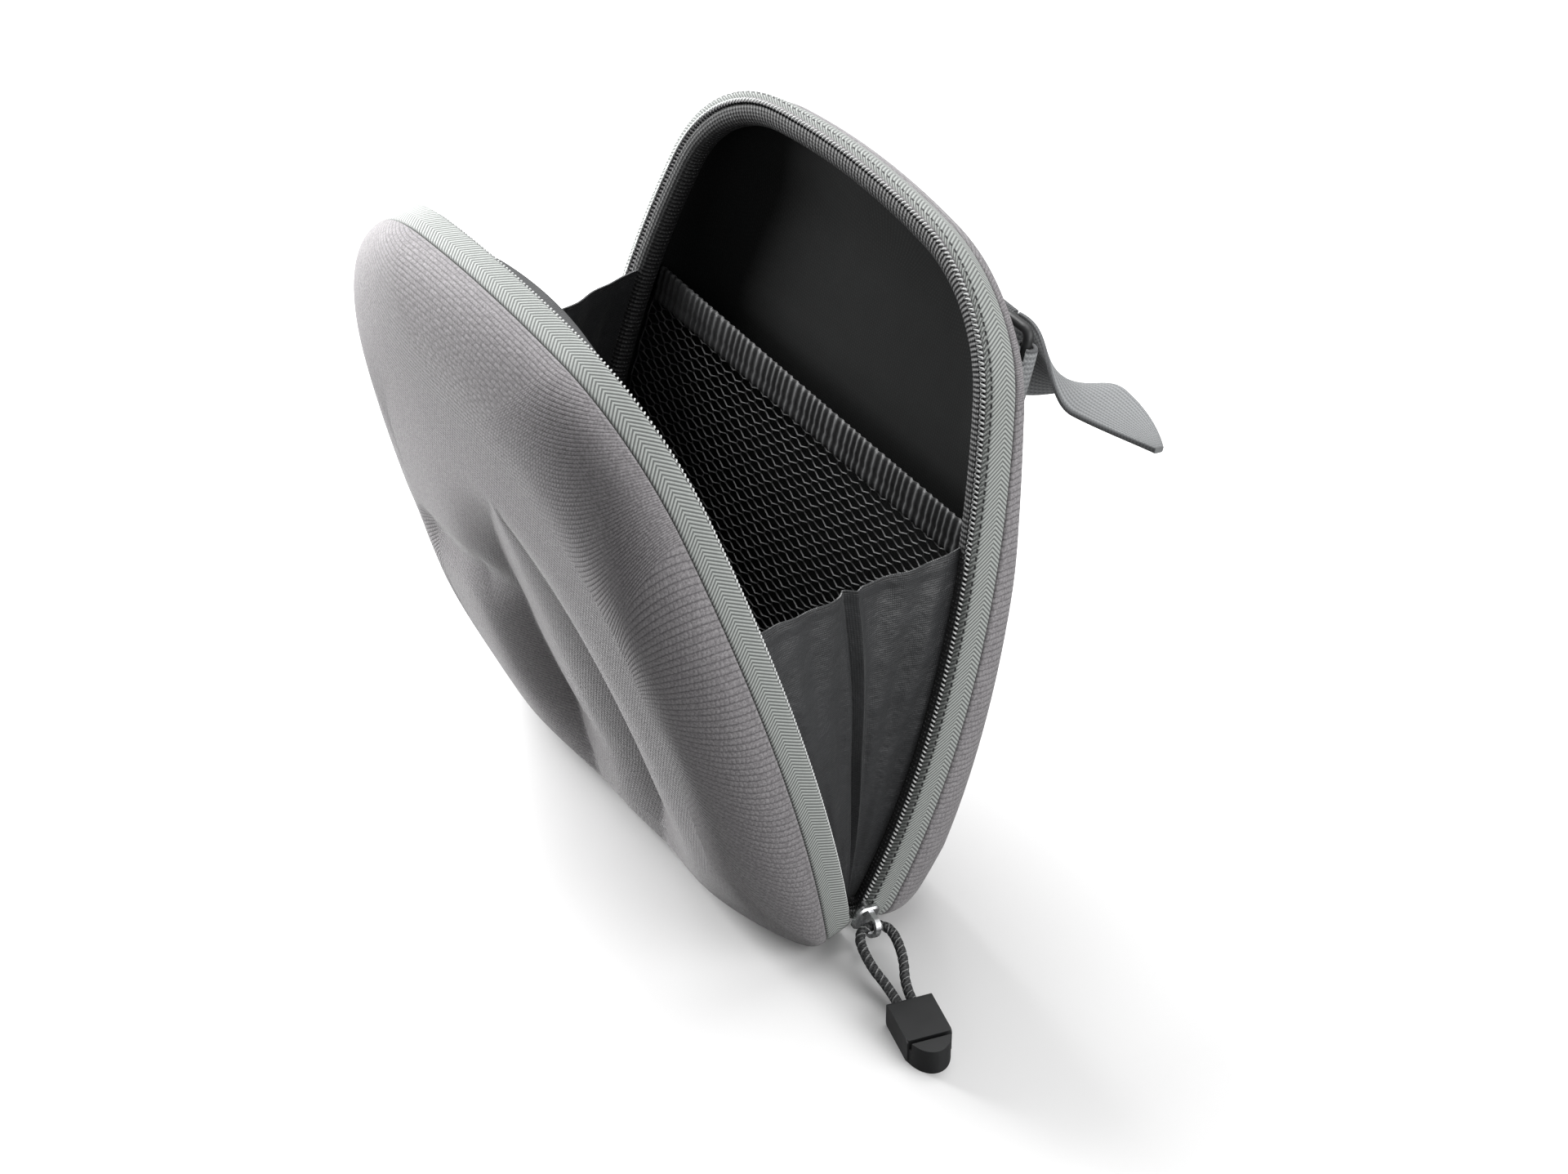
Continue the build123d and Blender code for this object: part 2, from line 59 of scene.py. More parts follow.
MM = 0.001
HINGE = np.array([0.0, -12.834, 5.97])
OPENED = radians(15)  # each half, from upright
RIM_GAP = 3.0
LEAN = 0.4  # the crown of the rear rim leans inwards by this share of its depth
LEAN_DEPTH = 10.0
LEAN_START, LEAN_RUN = 172.0, 34.0  # heights over which the lean sets in
WEBBING_CORNER = 0.35  # power that rounds the corners of a webbing's section

Array = np.ndarray
Object = bpy.types.Object


def eased(share: Array) -> Array:
    """A share held between 0 and 1, with a soft start and end."""
    share = np.clip(share, 0, 1)
    return share * share * (3 - 2 * share)


def fuller(wave: Array, power: float) -> Array:
    """A sine or cosine made fuller by a power under 1, for sections with round corners."""
    return np.sign(wave) * np.abs(wave) ** power


def webbing_section(v: Array, width: Array | float, thickness: float) -> tuple[Array, Array]:
    """Section of a band of webbing, once round it as v goes from 0 to 1.

    Args:
        v: Share of the way round.
        width: Width of the band.
        thickness: Its thickness.

    Returns:
        Places across the band and out from its middle.
    """
    turn = 2 * pi * v
    across = fuller(np.cos(turn), WEBBING_CORNER) * width / 2
    return across, fuller(np.sin(turn), WEBBING_CORNER) * thickness / 2


class Half(Enum):
    """The two moulded halves, by the side of the hinge line on which they stand."""

    FRONT = -1
    REAR = 1

    @property
    def body(self) -> str:
        """Name of the body that the half's pieces ride on."""
        return self.name.lower()

    def place(self, x: Array, s: Array, d: Array) -> Array:
        """Puts drawing points of this half in the case's frame, the rear crown leaning inwards.

        Args:
            x: Across the case.
            s: Up the plane of the rim, from the hinge line.
            d: Out from the rim towards the face.

        Returns:
            Points in metres, one row each.
        """
        x, s, d = np.broadcast_arrays(np.asarray(x, float), s, d)
        out = d + RIM_GAP / 2
        if self is Half.REAR:
            s = s - LEAN * np.clip(d, 0, LEAN_DEPTH) * eased((s - LEAN_START) / LEAN_RUN)
        y = self.value * (s * sin(OPENED) + out * cos(OPENED))
        z = s * cos(OPENED) - out * sin(OPENED)
        return (np.stack([x, y, z], -1) + HINGE) * MM


# ------------------------------------------------------------------ the bench


class Bench:
    """The modelling moves that the pieces are made with."""

    @staticmethod
    def hold(*objects: Object) -> None:
        """Deselects everything, then selects the objects and makes the first one active.

        Args:
            objects: What is to be selected, the active one first.
        """
        bpy.ops.object.select_all(action="DESELECT")
        for obj in objects:
            obj.select_set(True)
        bpy.context.view_layer.objects.active = objects[0]

    @staticmethod
    def grid(name: str, across: int, along: int) -> tuple[Object, Array, Array]:
        """Adds a grid primitive, ready to be laid.

        Args:
            name: The piece's name.
            across: Cells in the first direction.
            along: Cells in the second direction.

        Returns:
            The object, and where each vertex is in the two directions, from 0 to 1.
        """
        bpy.ops.object.select_all(action="DESELECT")
        bpy.ops.mesh.primitive_grid_add(x_subdivisions=across, y_subdivisions=along, size=1.0)
        obj = bpy.context.object
        obj.name = obj.data.name = name
        points = Bench.points(obj)
        return obj, points[:, 0] + 0.5, points[:, 1] + 0.5

    @staticmethod
    def points(obj: Object) -> Array:
        """The vertices of an object's mesh, one row each.

        Args:
            obj: The piece.

        Returns:
            Places in metres.
        """
        flat = np.empty(len(obj.data.vertices) * 3, np.float32)
        obj.data.vertices.foreach_get("co", flat)
        return flat.reshape(-1, 3).astype(float)

    @staticmethod
    def lay(obj: Object, points: Array, pattern: Array | None = None) -> Object:
        """Moves the vertices to their places and lays the cloth's pattern over them.

        Args:
            obj: A piece that is still as its primitive was added.
            points: Places in metres.
            pattern: Pattern coordinates in millimetres, for the piece's UV map.

        Returns:
            The same object.
        """
        obj.data.vertices.foreach_set("co", np.ascontiguousarray(points, np.float32).ravel())
        if pattern is not None:
            layer = obj.data.uv_layers.active or obj.data.uv_layers.new(name="UVMap")
            corners = np.empty(len(obj.data.loops), np.int32)
            obj.data.loops.foreach_get("vertex_index", corners)
            layer.data.foreach_set("uv", np.asarray(pattern * MM, np.float32)[corners].ravel())
        obj.data.update()
        return obj

    @staticmethod
    def join(first: Object, *others: Object) -> Object:
        """Joins pieces into the first one.

        Args:
            first: The piece that the others join.
            others: The others.

        Returns:
            The first one.
        """
        Bench.hold(first, *others)
        bpy.ops.object.join()
        return first

    @staticmethod
    def edit(obj: Object, *moves: Callable[[], object]) -> Object:
        """Makes moves in edit mode on the whole of a piece.

        Args:
            obj: The piece.
            moves: The moves, in order.

        Returns:
            The same object.
        """
        Bench.hold(obj)
        bpy.ops.object.mode_set(mode="EDIT")
        bpy.ops.mesh.select_all(action="SELECT")
        for move in moves:
            move()
        bpy.ops.object.mode_set(mode="OBJECT")
        return obj

    @staticmethod
    def agree() -> None:
        """Makes the normals of what is selected agree."""
        bpy.ops.mesh.normals_make_consistent(inside=False)

    @staticmethod
    def weld(obj: Object, reach: float) -> Object:
        """Merges vertices that lie within a reach in millimetres and makes the normals agree."""
        return Bench.edit(obj, lambda: bpy.ops.mesh.remove_doubles(threshold=reach * MM), Bench.agree)

    @staticmethod
    def tube(obj: Object, angle: float, reach: float = 0.01) -> Object:
        """Closes a tube along its seam and at its ends, and shades it.

        Args:
            obj: The tube.
            angle: Sharpest turn that is shaded smoothly, in degrees.
            reach: How near together the vertices of its seam lie, in millimetres.

        Returns:
            The same object.
        """
        Bench.weld(obj, reach)
        Bench.edit(obj, lambda: bpy.ops.mesh.fill_holes(sides=0), Bench.agree)
        return Bench.smooth(obj, angle)

    @staticmethod
    def face_from(obj: Object, centre: Sequence[float]) -> Object:
        """Turns an open surface so that it faces away from a point given in metres.

        Args:
            obj: An open surface.
            centre: The point that it faces away from.

        Returns:
            The same object.
        """
        mesh = obj.data
        normals, middles = np.empty(len(mesh.polygons) * 3), np.empty(len(mesh.polygons) * 3)
        mesh.polygons.foreach_get("normal", normals)
        mesh.polygons.foreach_get("center", middles)
        away = middles.reshape(-1, 3) - np.array(centre)
        if np.sum(normals.reshape(-1, 3) * away) < 0:
            Bench.edit(obj, bpy.ops.mesh.flip_normals)
        return obj

    @staticmethod
    def finish_with(obj: Object, kind: str, **settings: object) -> Object:
        """Adds one modifier and applies it.

        Args:
            obj: The piece.
            kind: Blender's name for the modifier's type.
            settings: The modifier's own settings.

        Returns:
            The same object.
        """
        Bench.hold(obj)
        bpy.ops.object.modifier_add(type=kind)
        modifier = obj.modifiers[-1]
        for name, value in settings.items():
            setattr(modifier, name, value)
        bpy.ops.object.modifier_apply(modifier=modifier.name)
        return obj

    @staticmethod
    def cloth(
        obj: Object, centre: Sequence[float], thickness: float, angle: float = 60, outwards: bool = False
    ) -> Object:
        """Turns a sheet to face away from a point, gives it its thickness and shades it.

        Args:
            obj: The sheet.
            centre: The point, in metres.
            thickness: Its thickness in millimetres.
            angle: Sharpest turn that is shaded smoothly, in degrees.
            outwards: Whether the thickness lies in front of its face.

        Returns:
            The same object.
        """
        Bench.face_from(obj, centre)
        offset = 1.0 if outwards else -1.0
        Bench.finish_with(obj, "SOLIDIFY", thickness=thickness * MM, offset=offset, use_even_offset=False)
        return Bench.smooth(obj, angle)

    @staticmethod
    def smooth(obj: Object, angle: float) -> Object:
        """Shades smoothly over edges that turn less than an angle in degrees.

        Args:
            obj: The piece.
            angle: Sharpest turn that is smoothed.

        Returns:
            The same object.
        """
        Bench.hold(obj)
        bpy.ops.object.shade_smooth_by_angle(angle=radians(angle))
        return obj

    @staticmethod
    def dress(obj: Object, finish: "Finish") -> None:
        """Gives a piece its finish.

        Args:
            obj: The piece.
            finish: Its finish.
        """
        obj.data.materials.clear()
        obj.data.materials.append(finish.material())

    @staticmethod
    def fit(obj: Object, body: str, finish: "Finish", *nodes: str) -> Object:
        """Dresses a finished piece, lets it ride on a body and stand for CAD nodes.

        Args:
            obj: The piece.
            body: The body that it rides on.
            finish: Its finish.
            nodes: The CAD nodes that it replaces.

        Returns:
            The same object.
        """
        Bench.dress(obj, finish)
        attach(obj, body)
        return Bench.stand_for(obj, *nodes)

    @staticmethod
    def stand_for(obj: Object, *nodes: str) -> Object:
        """Lets a piece stand for CAD nodes and reports it.

        Args:
            obj: The piece.
            nodes: The CAD nodes that it replaces.

        Returns:
            The same object.
        """
        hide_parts(*nodes)
        log.info("%s: %d faces", obj.name, len(obj.data.polygons))
        return obj


# ------------------------------------------------------------------ shader sheets


def colour(written: str) -> tuple[float, float, float, float]:
    """A colour written as six hex digits, as the linear one that a socket takes.

    Args:
        written: Red, green and blue, two digits each.

    Returns:
        The colour, opaque.
    """
    parts = [int(written[i : i + 2], 16) / 255 for i in (0, 2, 4)]
    linear = [p / 12.92 if p <= 0.04045 else ((p + 0.055) / 1.055) ** 2.4 for p in parts]
    return (*linear, 1.0)


class Signal:
    """A number that varies over a surface, with the arithmetic of Python."""

    def __init__(self, sheet: "Sheet", socket: bpy.types.NodeSocket) -> None:
        """Keeps the socket that the number comes from and the sheet that it is on."""
        self.sheet, self.socket = sheet, socket

    def _math(self, operation: str, *terms: object) -> "Signal":
        """Adds a Math node for the terms."""
        return self.sheet.signal("ShaderNodeMath", {"operation": operation}, dict(enumerate(terms)))

    def __add__(self, other: object) -> "Signal":
        """Sum."""
        return self._math("ADD", self, other)

    __radd__ = __add__

    def __sub__(self, other: object) -> "Signal":
        """Difference."""
        return self._math("SUBTRACT", self, other)

    def __rsub__(self, other: object) -> "Signal":
        """Difference from a number."""
        return self._math("SUBTRACT", other, self)

    def __mul__(self, other: object) -> "Signal":
        """Product."""
        return self._math("MULTIPLY", self, other)

    __rmul__ = __mul__

    def __truediv__(self, other: object) -> "Signal":
        """Quotient."""
        return self._math("DIVIDE", self, other)

    def __pow__(self, other: object) -> "Signal":
        """Power."""
        return self._math("POWER", self, other)

    def __mod__(self, other: object) -> "Signal":
        """Remainder, never negative."""
        return self._math("FLOORED_MODULO", self, other)

    def __lt__(self, other: object) -> "Signal":
        """1 where less, 0 elsewhere."""
        return self._math("LESS_THAN", self, other)

    def __abs__(self) -> "Signal":
        """Size without its sign."""
        return self._math("ABSOLUTE", self)

    def sin(self) -> "Signal":
        """Sine."""
        return self._math("SINE", self)

    def most(self, other: object) -> "Signal":
        """The greater of two."""
        return self._math("MAXIMUM", self, other)

    def wave(self, pitch: float) -> "Signal":
        """A smooth wave from 0 to 1 that repeats at a pitch."""
        return (self * (2 * pi / pitch)).sin() * 0.5 + 0.5

    def step(self, low: float, high: float) -> "Signal":
        """Rises smoothly from 0 at low to 1 at high."""
        values = {0: self, 1: low, 2: high}
        return self.sheet.signal("ShaderNodeMapRange", {"interpolation_type": "SMOOTHSTEP"}, values)


class Sheet:
    """The node tree of one material, or of the world."""

    def __init__(self, owner: bpy.types.ID, shader: str = "BSDF_PRINCIPLED") -> None:
        """Takes up the owner's nodes and finds its shader.

        Args:
            owner: The material or world.
            shader: Type of its shader node.
        """
        owner.use_nodes = True
        self.tree = owner.node_tree
        self.surface = next(n for n in self.tree.nodes if n.type == shader)

    def node(self, kind: str, settings: dict | None = None, values: dict | None = None) -> bpy.types.Node:
        """Adds a node.

        Args:
            kind: Blender's name for the node's type.
            settings: Its own settings, set first.
            values: What its input sockets take, a constant or a link, by name or number.

        Returns:
            The node.
        """
        node = self.tree.nodes.new(kind)
        for name, value in (settings or {}).items():
            setattr(node, name, value)
        for key, value in (values or {}).items():
            self.feed(node.inputs[key], value)
        return node

    def feed(self, socket: bpy.types.NodeSocket, value: object) -> None:
        """Sets a socket to a constant or links it.

        Args:
            socket: An input.
            value: A constant, a signal or an output.
        """
        if isinstance(value, Signal):
            value = value.socket
        if isinstance(value, bpy.types.NodeSocket):
            self.tree.links.new(value, socket)
        else:
            socket.default_value = value

    def signal(self, kind: str, settings: dict | None, values: dict, output: int | str = 0) -> Signal:
        """Adds a node and takes one of its outputs as a number."""
        return Signal(self, self.node(kind, settings, values).outputs[output])

    def pattern(self) -> tuple[Signal, Signal]:
        """The piece's own UV map, in millimetres.

        Returns:
            Its two coordinates.
        """
        uv = self.node("ShaderNodeTexCoord").outputs["UV"]
        parts = self.node("ShaderNodeSeparateXYZ", None, {0: uv})
        return Signal(self, parts.outputs[0]) * 1000, Signal(self, parts.outputs[1]) * 1000

    def place(self) -> bpy.types.NodeSocket:
        """Object coordinates, in metres."""
        return self.node("ShaderNodeTexCoord").outputs["Object"]

    def noise(self, grain: float, detail: float = 2.0, rough: float = 0.5) -> Signal:
        """Noise with a grain of a size in millimetres."""
        values = {"Vector": self.place(), "Scale": 1000 / grain, "Detail": detail, "Roughness": rough}
        return self.signal("ShaderNodeTexNoise", None, values)

    def blend(self, share: object, first: object, second: object) -> bpy.types.NodeSocket:
        """Mixes two colours, each given as hex digits or a link.

        Args:
            share: Share of the second colour.
            first: The first colour.
            second: The second one.

        Returns:
            The mixed colour.
        """
        ends = [colour(c) if isinstance(c, str) else c for c in (first, second)]
        values = {0: share, 6: ends[0], 7: ends[1]}
        return self.node("ShaderNodeMix", {"data_type": "RGBA"}, values).outputs[2]

    def bump(self, height: Signal, depth: float, strength: float = 1.0) -> None:
        """Raises the surface by a height of 0 to 1 times a depth in millimetres."""
        values = {"Height": height, "Distance": depth * MM, "Strength": strength}
        self.feed(self.surface.inputs["Normal"], self.node("ShaderNodeBump", None, values).outputs[0])

    def paint(self, **inputs: object) -> None:
        """Feeds the surface shader, each socket by its name with underscores for spaces."""
        for name, value in inputs.items():
            value = colour(value) if isinstance(value, str) else value
            self.feed(self.surface.inputs[name.replace("_", " ")], value)


@dataclass(frozen=True)
class Finish:
    """A finish: the name of its slot and how it is painted."""

    slot: str
    name: str

    def draw(self, sheet: Sheet) -> None:
        """Paints the sheet."""
        raise NotImplementedError

    def material(self) -> bpy.types.Material:
        """The material, made once.

        Returns:
            The material, shared by all pieces with this finish.
        """
        made = bpy.data.materials.get(self.name)
        if made is None:
            made = bpy.data.materials.new(self.name)
            self.draw(Sheet(made))
        return made


@dataclass(frozen=True)
class ShellCloth(Finish):
    """Corded canvas, moulded over foam: beaded cords that run across the case."""

    slot: str = "shell_cloth"
    name: str = "corded shell cloth"
    cord: float = 1.3
    bead: float = 1.25
    light: str = "969395"
    dark: str = "747173"
    # painted shade for the grooves between the cords and beads
    groove_shade: str = "302e31"

    def draw(self, sheet: Sheet) -> None:
        """Rows of beads, each row half a bead on from the last, with heather over them and painted shade in
        the grooves between them.

        Args:
            sheet: The sheet of the finish's material.
        """
        u, v = sheet.pattern()
        row = (v - v % self.cord) / self.cord
        round_cord = abs((v * (pi / self.cord)).sin())
        round_bead = abs((u * (pi / self.bead) + row * (pi / 2)).sin())
        crown = round_cord ** 0.6 * (round_bead ** 0.5 * 0.5 + 0.5)
        heather = sheet.noise(0.7, 3, 0.7)
        broad = sheet.noise(16, 2)
        cloth = sheet.blend(heather.step(0.35, 0.65), self.dark, self.light)
        cloth = sheet.blend(broad.step(0.3, 0.8) * 0.12, cloth, "6d696e")
        # painted shade: the grooves between the cords and beads are darkened
        cloth = sheet.blend((1 - crown).step(0.25, 0.95) * 0.6, cloth, self.groove_shade)
        sheet.paint(Base_Color=cloth, Roughness=0.8, Sheen_Weight=0.3, Sheen_Roughness=0.35)
        sheet.bump(crown * 0.9 + heather * 0.15, 0.22, 0.8)


@dataclass(frozen=True)
class TapeCloth(Finish):
    """Herringbone zip tape with rows of stitches."""

    slot: str = "zip_tape_cloth"
    name: str = "herringbone zip tape"
    middle: float = 4.3
    rib: float = 1.3
    stitch_rows: tuple[float, ...] = (9.4,)
    stitch: float = 2.4

    def draw(self, sheet: Sheet) -> None:
        """Slanted ribs that meet along the middle, then the stitches over them.

        Args:
            sheet: The sheet of the finish's material.
        """
        u, v = sheet.pattern()
        slanted = u + abs(v - self.middle) * 0.9
        ribs = slanted.wave(self.rib)
        grain = sheet.noise(0.5, 2)
        cloth = sheet.blend(ribs.step(0.1, 0.8), "5a5d5b", "a8aca9")
        cloth = sheet.blend(grain.step(0.4, 0.8) * 0.3, cloth, "757977")
        stitches = None
        for row in self.stitch_rows:
            near = 1 - abs(v - row).step(0.2, 0.38)
            dash = ((u + row) % self.stitch) < self.stitch * 0.55
            stitches = near * dash if stitches is None else stitches.most(near * dash)
        cloth = sheet.blend(stitches, cloth, "1b1c1d")
        sheet.paint(Base_Color=cloth, Roughness=0.75, Sheen_Weight=0.15)
        sheet.bump(ribs * 0.6 + grain * 0.3 - stitches * 0.8, 0.22, 0.8)


@dataclass(frozen=True)
class CoilPlastic(Finish):
    """Nylon coil, with painted highlights on its crowns."""

    slot: str = "zip_coil"
    name: str = "nylon zip coil"

    def draw(self, sheet: Sheet) -> None:
        """Dark turns with a painted highlight on their outer crowns.

        Args:
            sheet: The sheet of the finish's material.
        """
        around, _ = sheet.pattern()
        # painted highlight: the outer crown of each turn is lightened to pale grey
        crown = around.step(0.35, 0.85)
        grain = sheet.noise(0.6, 2)
        sheet.paint(
            Base_Color=sheet.blend(crown, sheet.blend(grain, "0c0d0e", "1c1e20"), "d2d4d3"),
            Roughness=0.3 + grain * 0.15,
        )


@dataclass(frozen=True)
class RibbedBinding(Finish):
    """Ribbed binding inside the rim."""

    slot: str = "inner_tape_cloth"
    name: str = "ribbed binding"

    def draw(self, sheet: Sheet) -> None:
        """Ribs with pale painted glints along them.

        Args:
            sheet: The sheet of the finish's material.
        """
        u, v = sheet.pattern()
        ribs = u.wave(1.5)
        grain = sheet.noise(0.5, 3, 0.7)
        # painted highlights: pale glints on the rib crests, broken up by noise
        painted_glints = ribs.step(0.6, 1.0) * (v.wave(1.1) * 0.6 + 0.4) * grain.step(0.35, 0.75)
        sheet.paint(Base_Color=sheet.blend(painted_glints.step(0.1, 0.7) * 0.6, "121213", "a2a4a4"), Roughness=0.6)
        sheet.bump(ribs * 0.8 + v.wave(1.1) * 0.3, 0.3, 0.8)


@dataclass(frozen=True)
class LiningCloth(Finish):
    """Smooth brushed lining."""

    slot: str = "lining_cloth"
    name: str = "brushed lining"

    def draw(self, sheet: Sheet) -> None:
        """Fine brushed knit with a faint nap.

        Args:
            sheet: The sheet of the finish's material.
        """
        u, v = sheet.pattern()
        nap = sheet.noise(9, 3)
        knit = u.wave(0.9) * v.wave(0.9)
        cloth = sheet.blend(nap, "0e0f0f", "171818")
        sheet.paint(
            Base_Color=sheet.blend(knit * 0.3, cloth, "2c2d2d"), Roughness=0.85, Specular_IOR_Level=0.12
        )
        sheet.bump(knit * 0.5 + nap * 0.5, 0.12, 0.6)


@dataclass(frozen=True)
class LipCloth(Finish):
    """Stretch cloth over the zip guard."""

    slot: str = "lip_cloth"
    name: str = "zip guard cloth"

    def draw(self, sheet: Sheet) -> None:
        """Fine knit.

        Args:
            sheet: The sheet of the finish's material.
        """
        u, v = sheet.pattern()
        knit = u.wave(0.8) * v.wave(0.8)
        nap = sheet.noise(5, 3)
        sheet.paint(Base_Color=sheet.blend(nap * 0.6 + knit * 0.3, "2b2c2d", "4c4d4e"), Roughness=0.78)
        sheet.bump(knit, 0.12, 0.6)


@dataclass(frozen=True)
class GussetNylon(Finish):
    """Satin nylon of the gussets, with a stitched hem."""

    slot: str = "gusset_nylon"
    name: str = "satin gusset nylon"
    hem: float = 2.6
    stitch: float = 3.0

    def draw(self, sheet: Sheet) -> None:
        """A fine ripstop weave with dashes along the hem.

        Args:
            sheet: The sheet of the finish's material.
        """
        u, v = sheet.pattern()
        weave = u.wave(0.7) * v.wave(0.7)
        streaks = sheet.noise(13, 4, 0.6)
        cloth = sheet.blend(streaks, "1b1c1d", "2b2c2e")
        cloth = sheet.blend(weave * 0.2, cloth, "48494b")
        stitches = (1 - abs(v - self.hem).step(0.16, 0.34)) * ((u % self.stitch) < self.stitch * 0.6)
        sheet.paint(
            Base_Color=sheet.blend(stitches, cloth, "0e0e0f"),
            Roughness=0.34 + weave * 0.12,
            Sheen_Weight=0.1,
        )
        sheet.bump(weave * 0.05 + streaks - stitches * 0.15, 1.6, 0.8)


@dataclass(frozen=True)
class NetCord(Finish):
    """Knitted cord of the mesh pocket and of its band."""

    slot: str = "pocket_mesh"
    name: str = "knitted net"

    def draw(self, sheet: Sheet) -> None:
        """Matt cord with fine filaments.

        Args:
            sheet: The sheet of the finish's material.
        """
        grain = sheet.noise(0.7, 3, 0.7)
        sheet.paint(Base_Color=sheet.blend(grain, "141415", "3e3f40"), Roughness=0.6)
        sheet.bump(grain, 0.1)


@dataclass(frozen=True)
class Webbing(Finish):
    """Ribbed webbing, or the looped pile on its inner side."""

    slot: str = "strap_webbing"
    name: str = "strap webbing"
    dark: str = "606264"
    light: str = "9a9c9d"
    rib: float = 1.6
    rows: float = 0.9
    edge: float = 12.5

    def draw(self, sheet: Sheet) -> None:
        """Ribs along the webbing, crossed by its picks, and a darker selvedge.

        Args:
            sheet: The sheet of the finish's material.
        """
        u, v = sheet.pattern()
        ribs = v.wave(self.rib)
        picks = (u + ribs * self.rows * 0.5).wave(self.rows)
        grain = sheet.noise(0.6, 3, 0.7)
        cloth = sheet.blend(ribs * 0.55 + picks * 0.3 + grain * 0.15, self.dark, self.light)
        selvedge = abs(v).step(self.edge - 1.0, self.edge - 0.5)
        sheet.paint(Base_Color=sheet.blend(selvedge * 0.8, cloth, "3a3b3d"), Roughness=0.7, Sheen_Weight=0.1)
        sheet.bump(ribs * 0.6 + picks * 0.35 + grain * 0.2, 0.3, 0.8)


@dataclass(frozen=True)
class Moulded(Finish):
    """Moulded plastic with a faint grain."""

    slot: str = "ring_plastic"
    name: str = "moulded ring"
    low: str = "121314"
    high: str = "1b1c1d"
    rough: float = 0.38

    def draw(self, sheet: Sheet) -> None:
        """Fine spark texture and slight wear in its gloss.

        Args:
            sheet: The sheet of the finish's material.
        """
        spark = sheet.noise(0.35, 2)
        wear = sheet.noise(6, 3)
        sheet.paint(
            Base_Color=sheet.blend(wear, self.low, self.high), Roughness=self.rough + wear * 0.18
        )
        sheet.bump(spark, 0.03, 0.5)


@dataclass(frozen=True)
class Plated(Finish):
    """Plated metal."""

    slot: str = "slider_metal"
    name: str = "plated slider"
    tone: str = "d4d5d6"

    def draw(self, sheet: Sheet) -> None:
        """Bright plating with fine scratches.

        Args:
            sheet: The sheet of the finish's material.
        """
        wear = sheet.noise(2.5, 4, 0.7)
        sheet.paint(
            Base_Color=sheet.blend(wear.step(0.4, 0.8), self.tone, "9c9da0"),
            Metallic=1.0,
            Roughness=0.18 + wear * 0.2,
        )
        sheet.bump(wear, 0.02, 0.5)


@dataclass(frozen=True)
class Braid(Finish):
    """Braided cord with pale flecks."""

    slot: str = "cord_braid"
    name: str = "braided cord"
    turns: float = 4.0
    pitch: float = 2.6

    def draw(self, sheet: Sheet) -> None:
        """Two sets of strands that wind against each other, some with a pale thread.

        Args:
            sheet: The sheet of the finish's material.
        """
        around, along = sheet.pattern()
        left = (around * self.turns + along / self.pitch * 2).wave(1.0)
        right = (around * self.turns - along / self.pitch * 2).wave(1.0)
        strands = left.most(right)
        fleck = (around * 2 + along / self.pitch).wave(1.0).step(0.8, 0.95) * left.step(0.6, 0.9)
        cord = sheet.blend(strands, "060607", "2a2b2c")
        sheet.paint(Base_Color=sheet.blend(fleck * 0.8, cord, "b4b5b5"), Roughness=0.55)
        sheet.bump(strands, 0.25, 0.9)


# ------------------------------------------------------------------ drawing of the halves


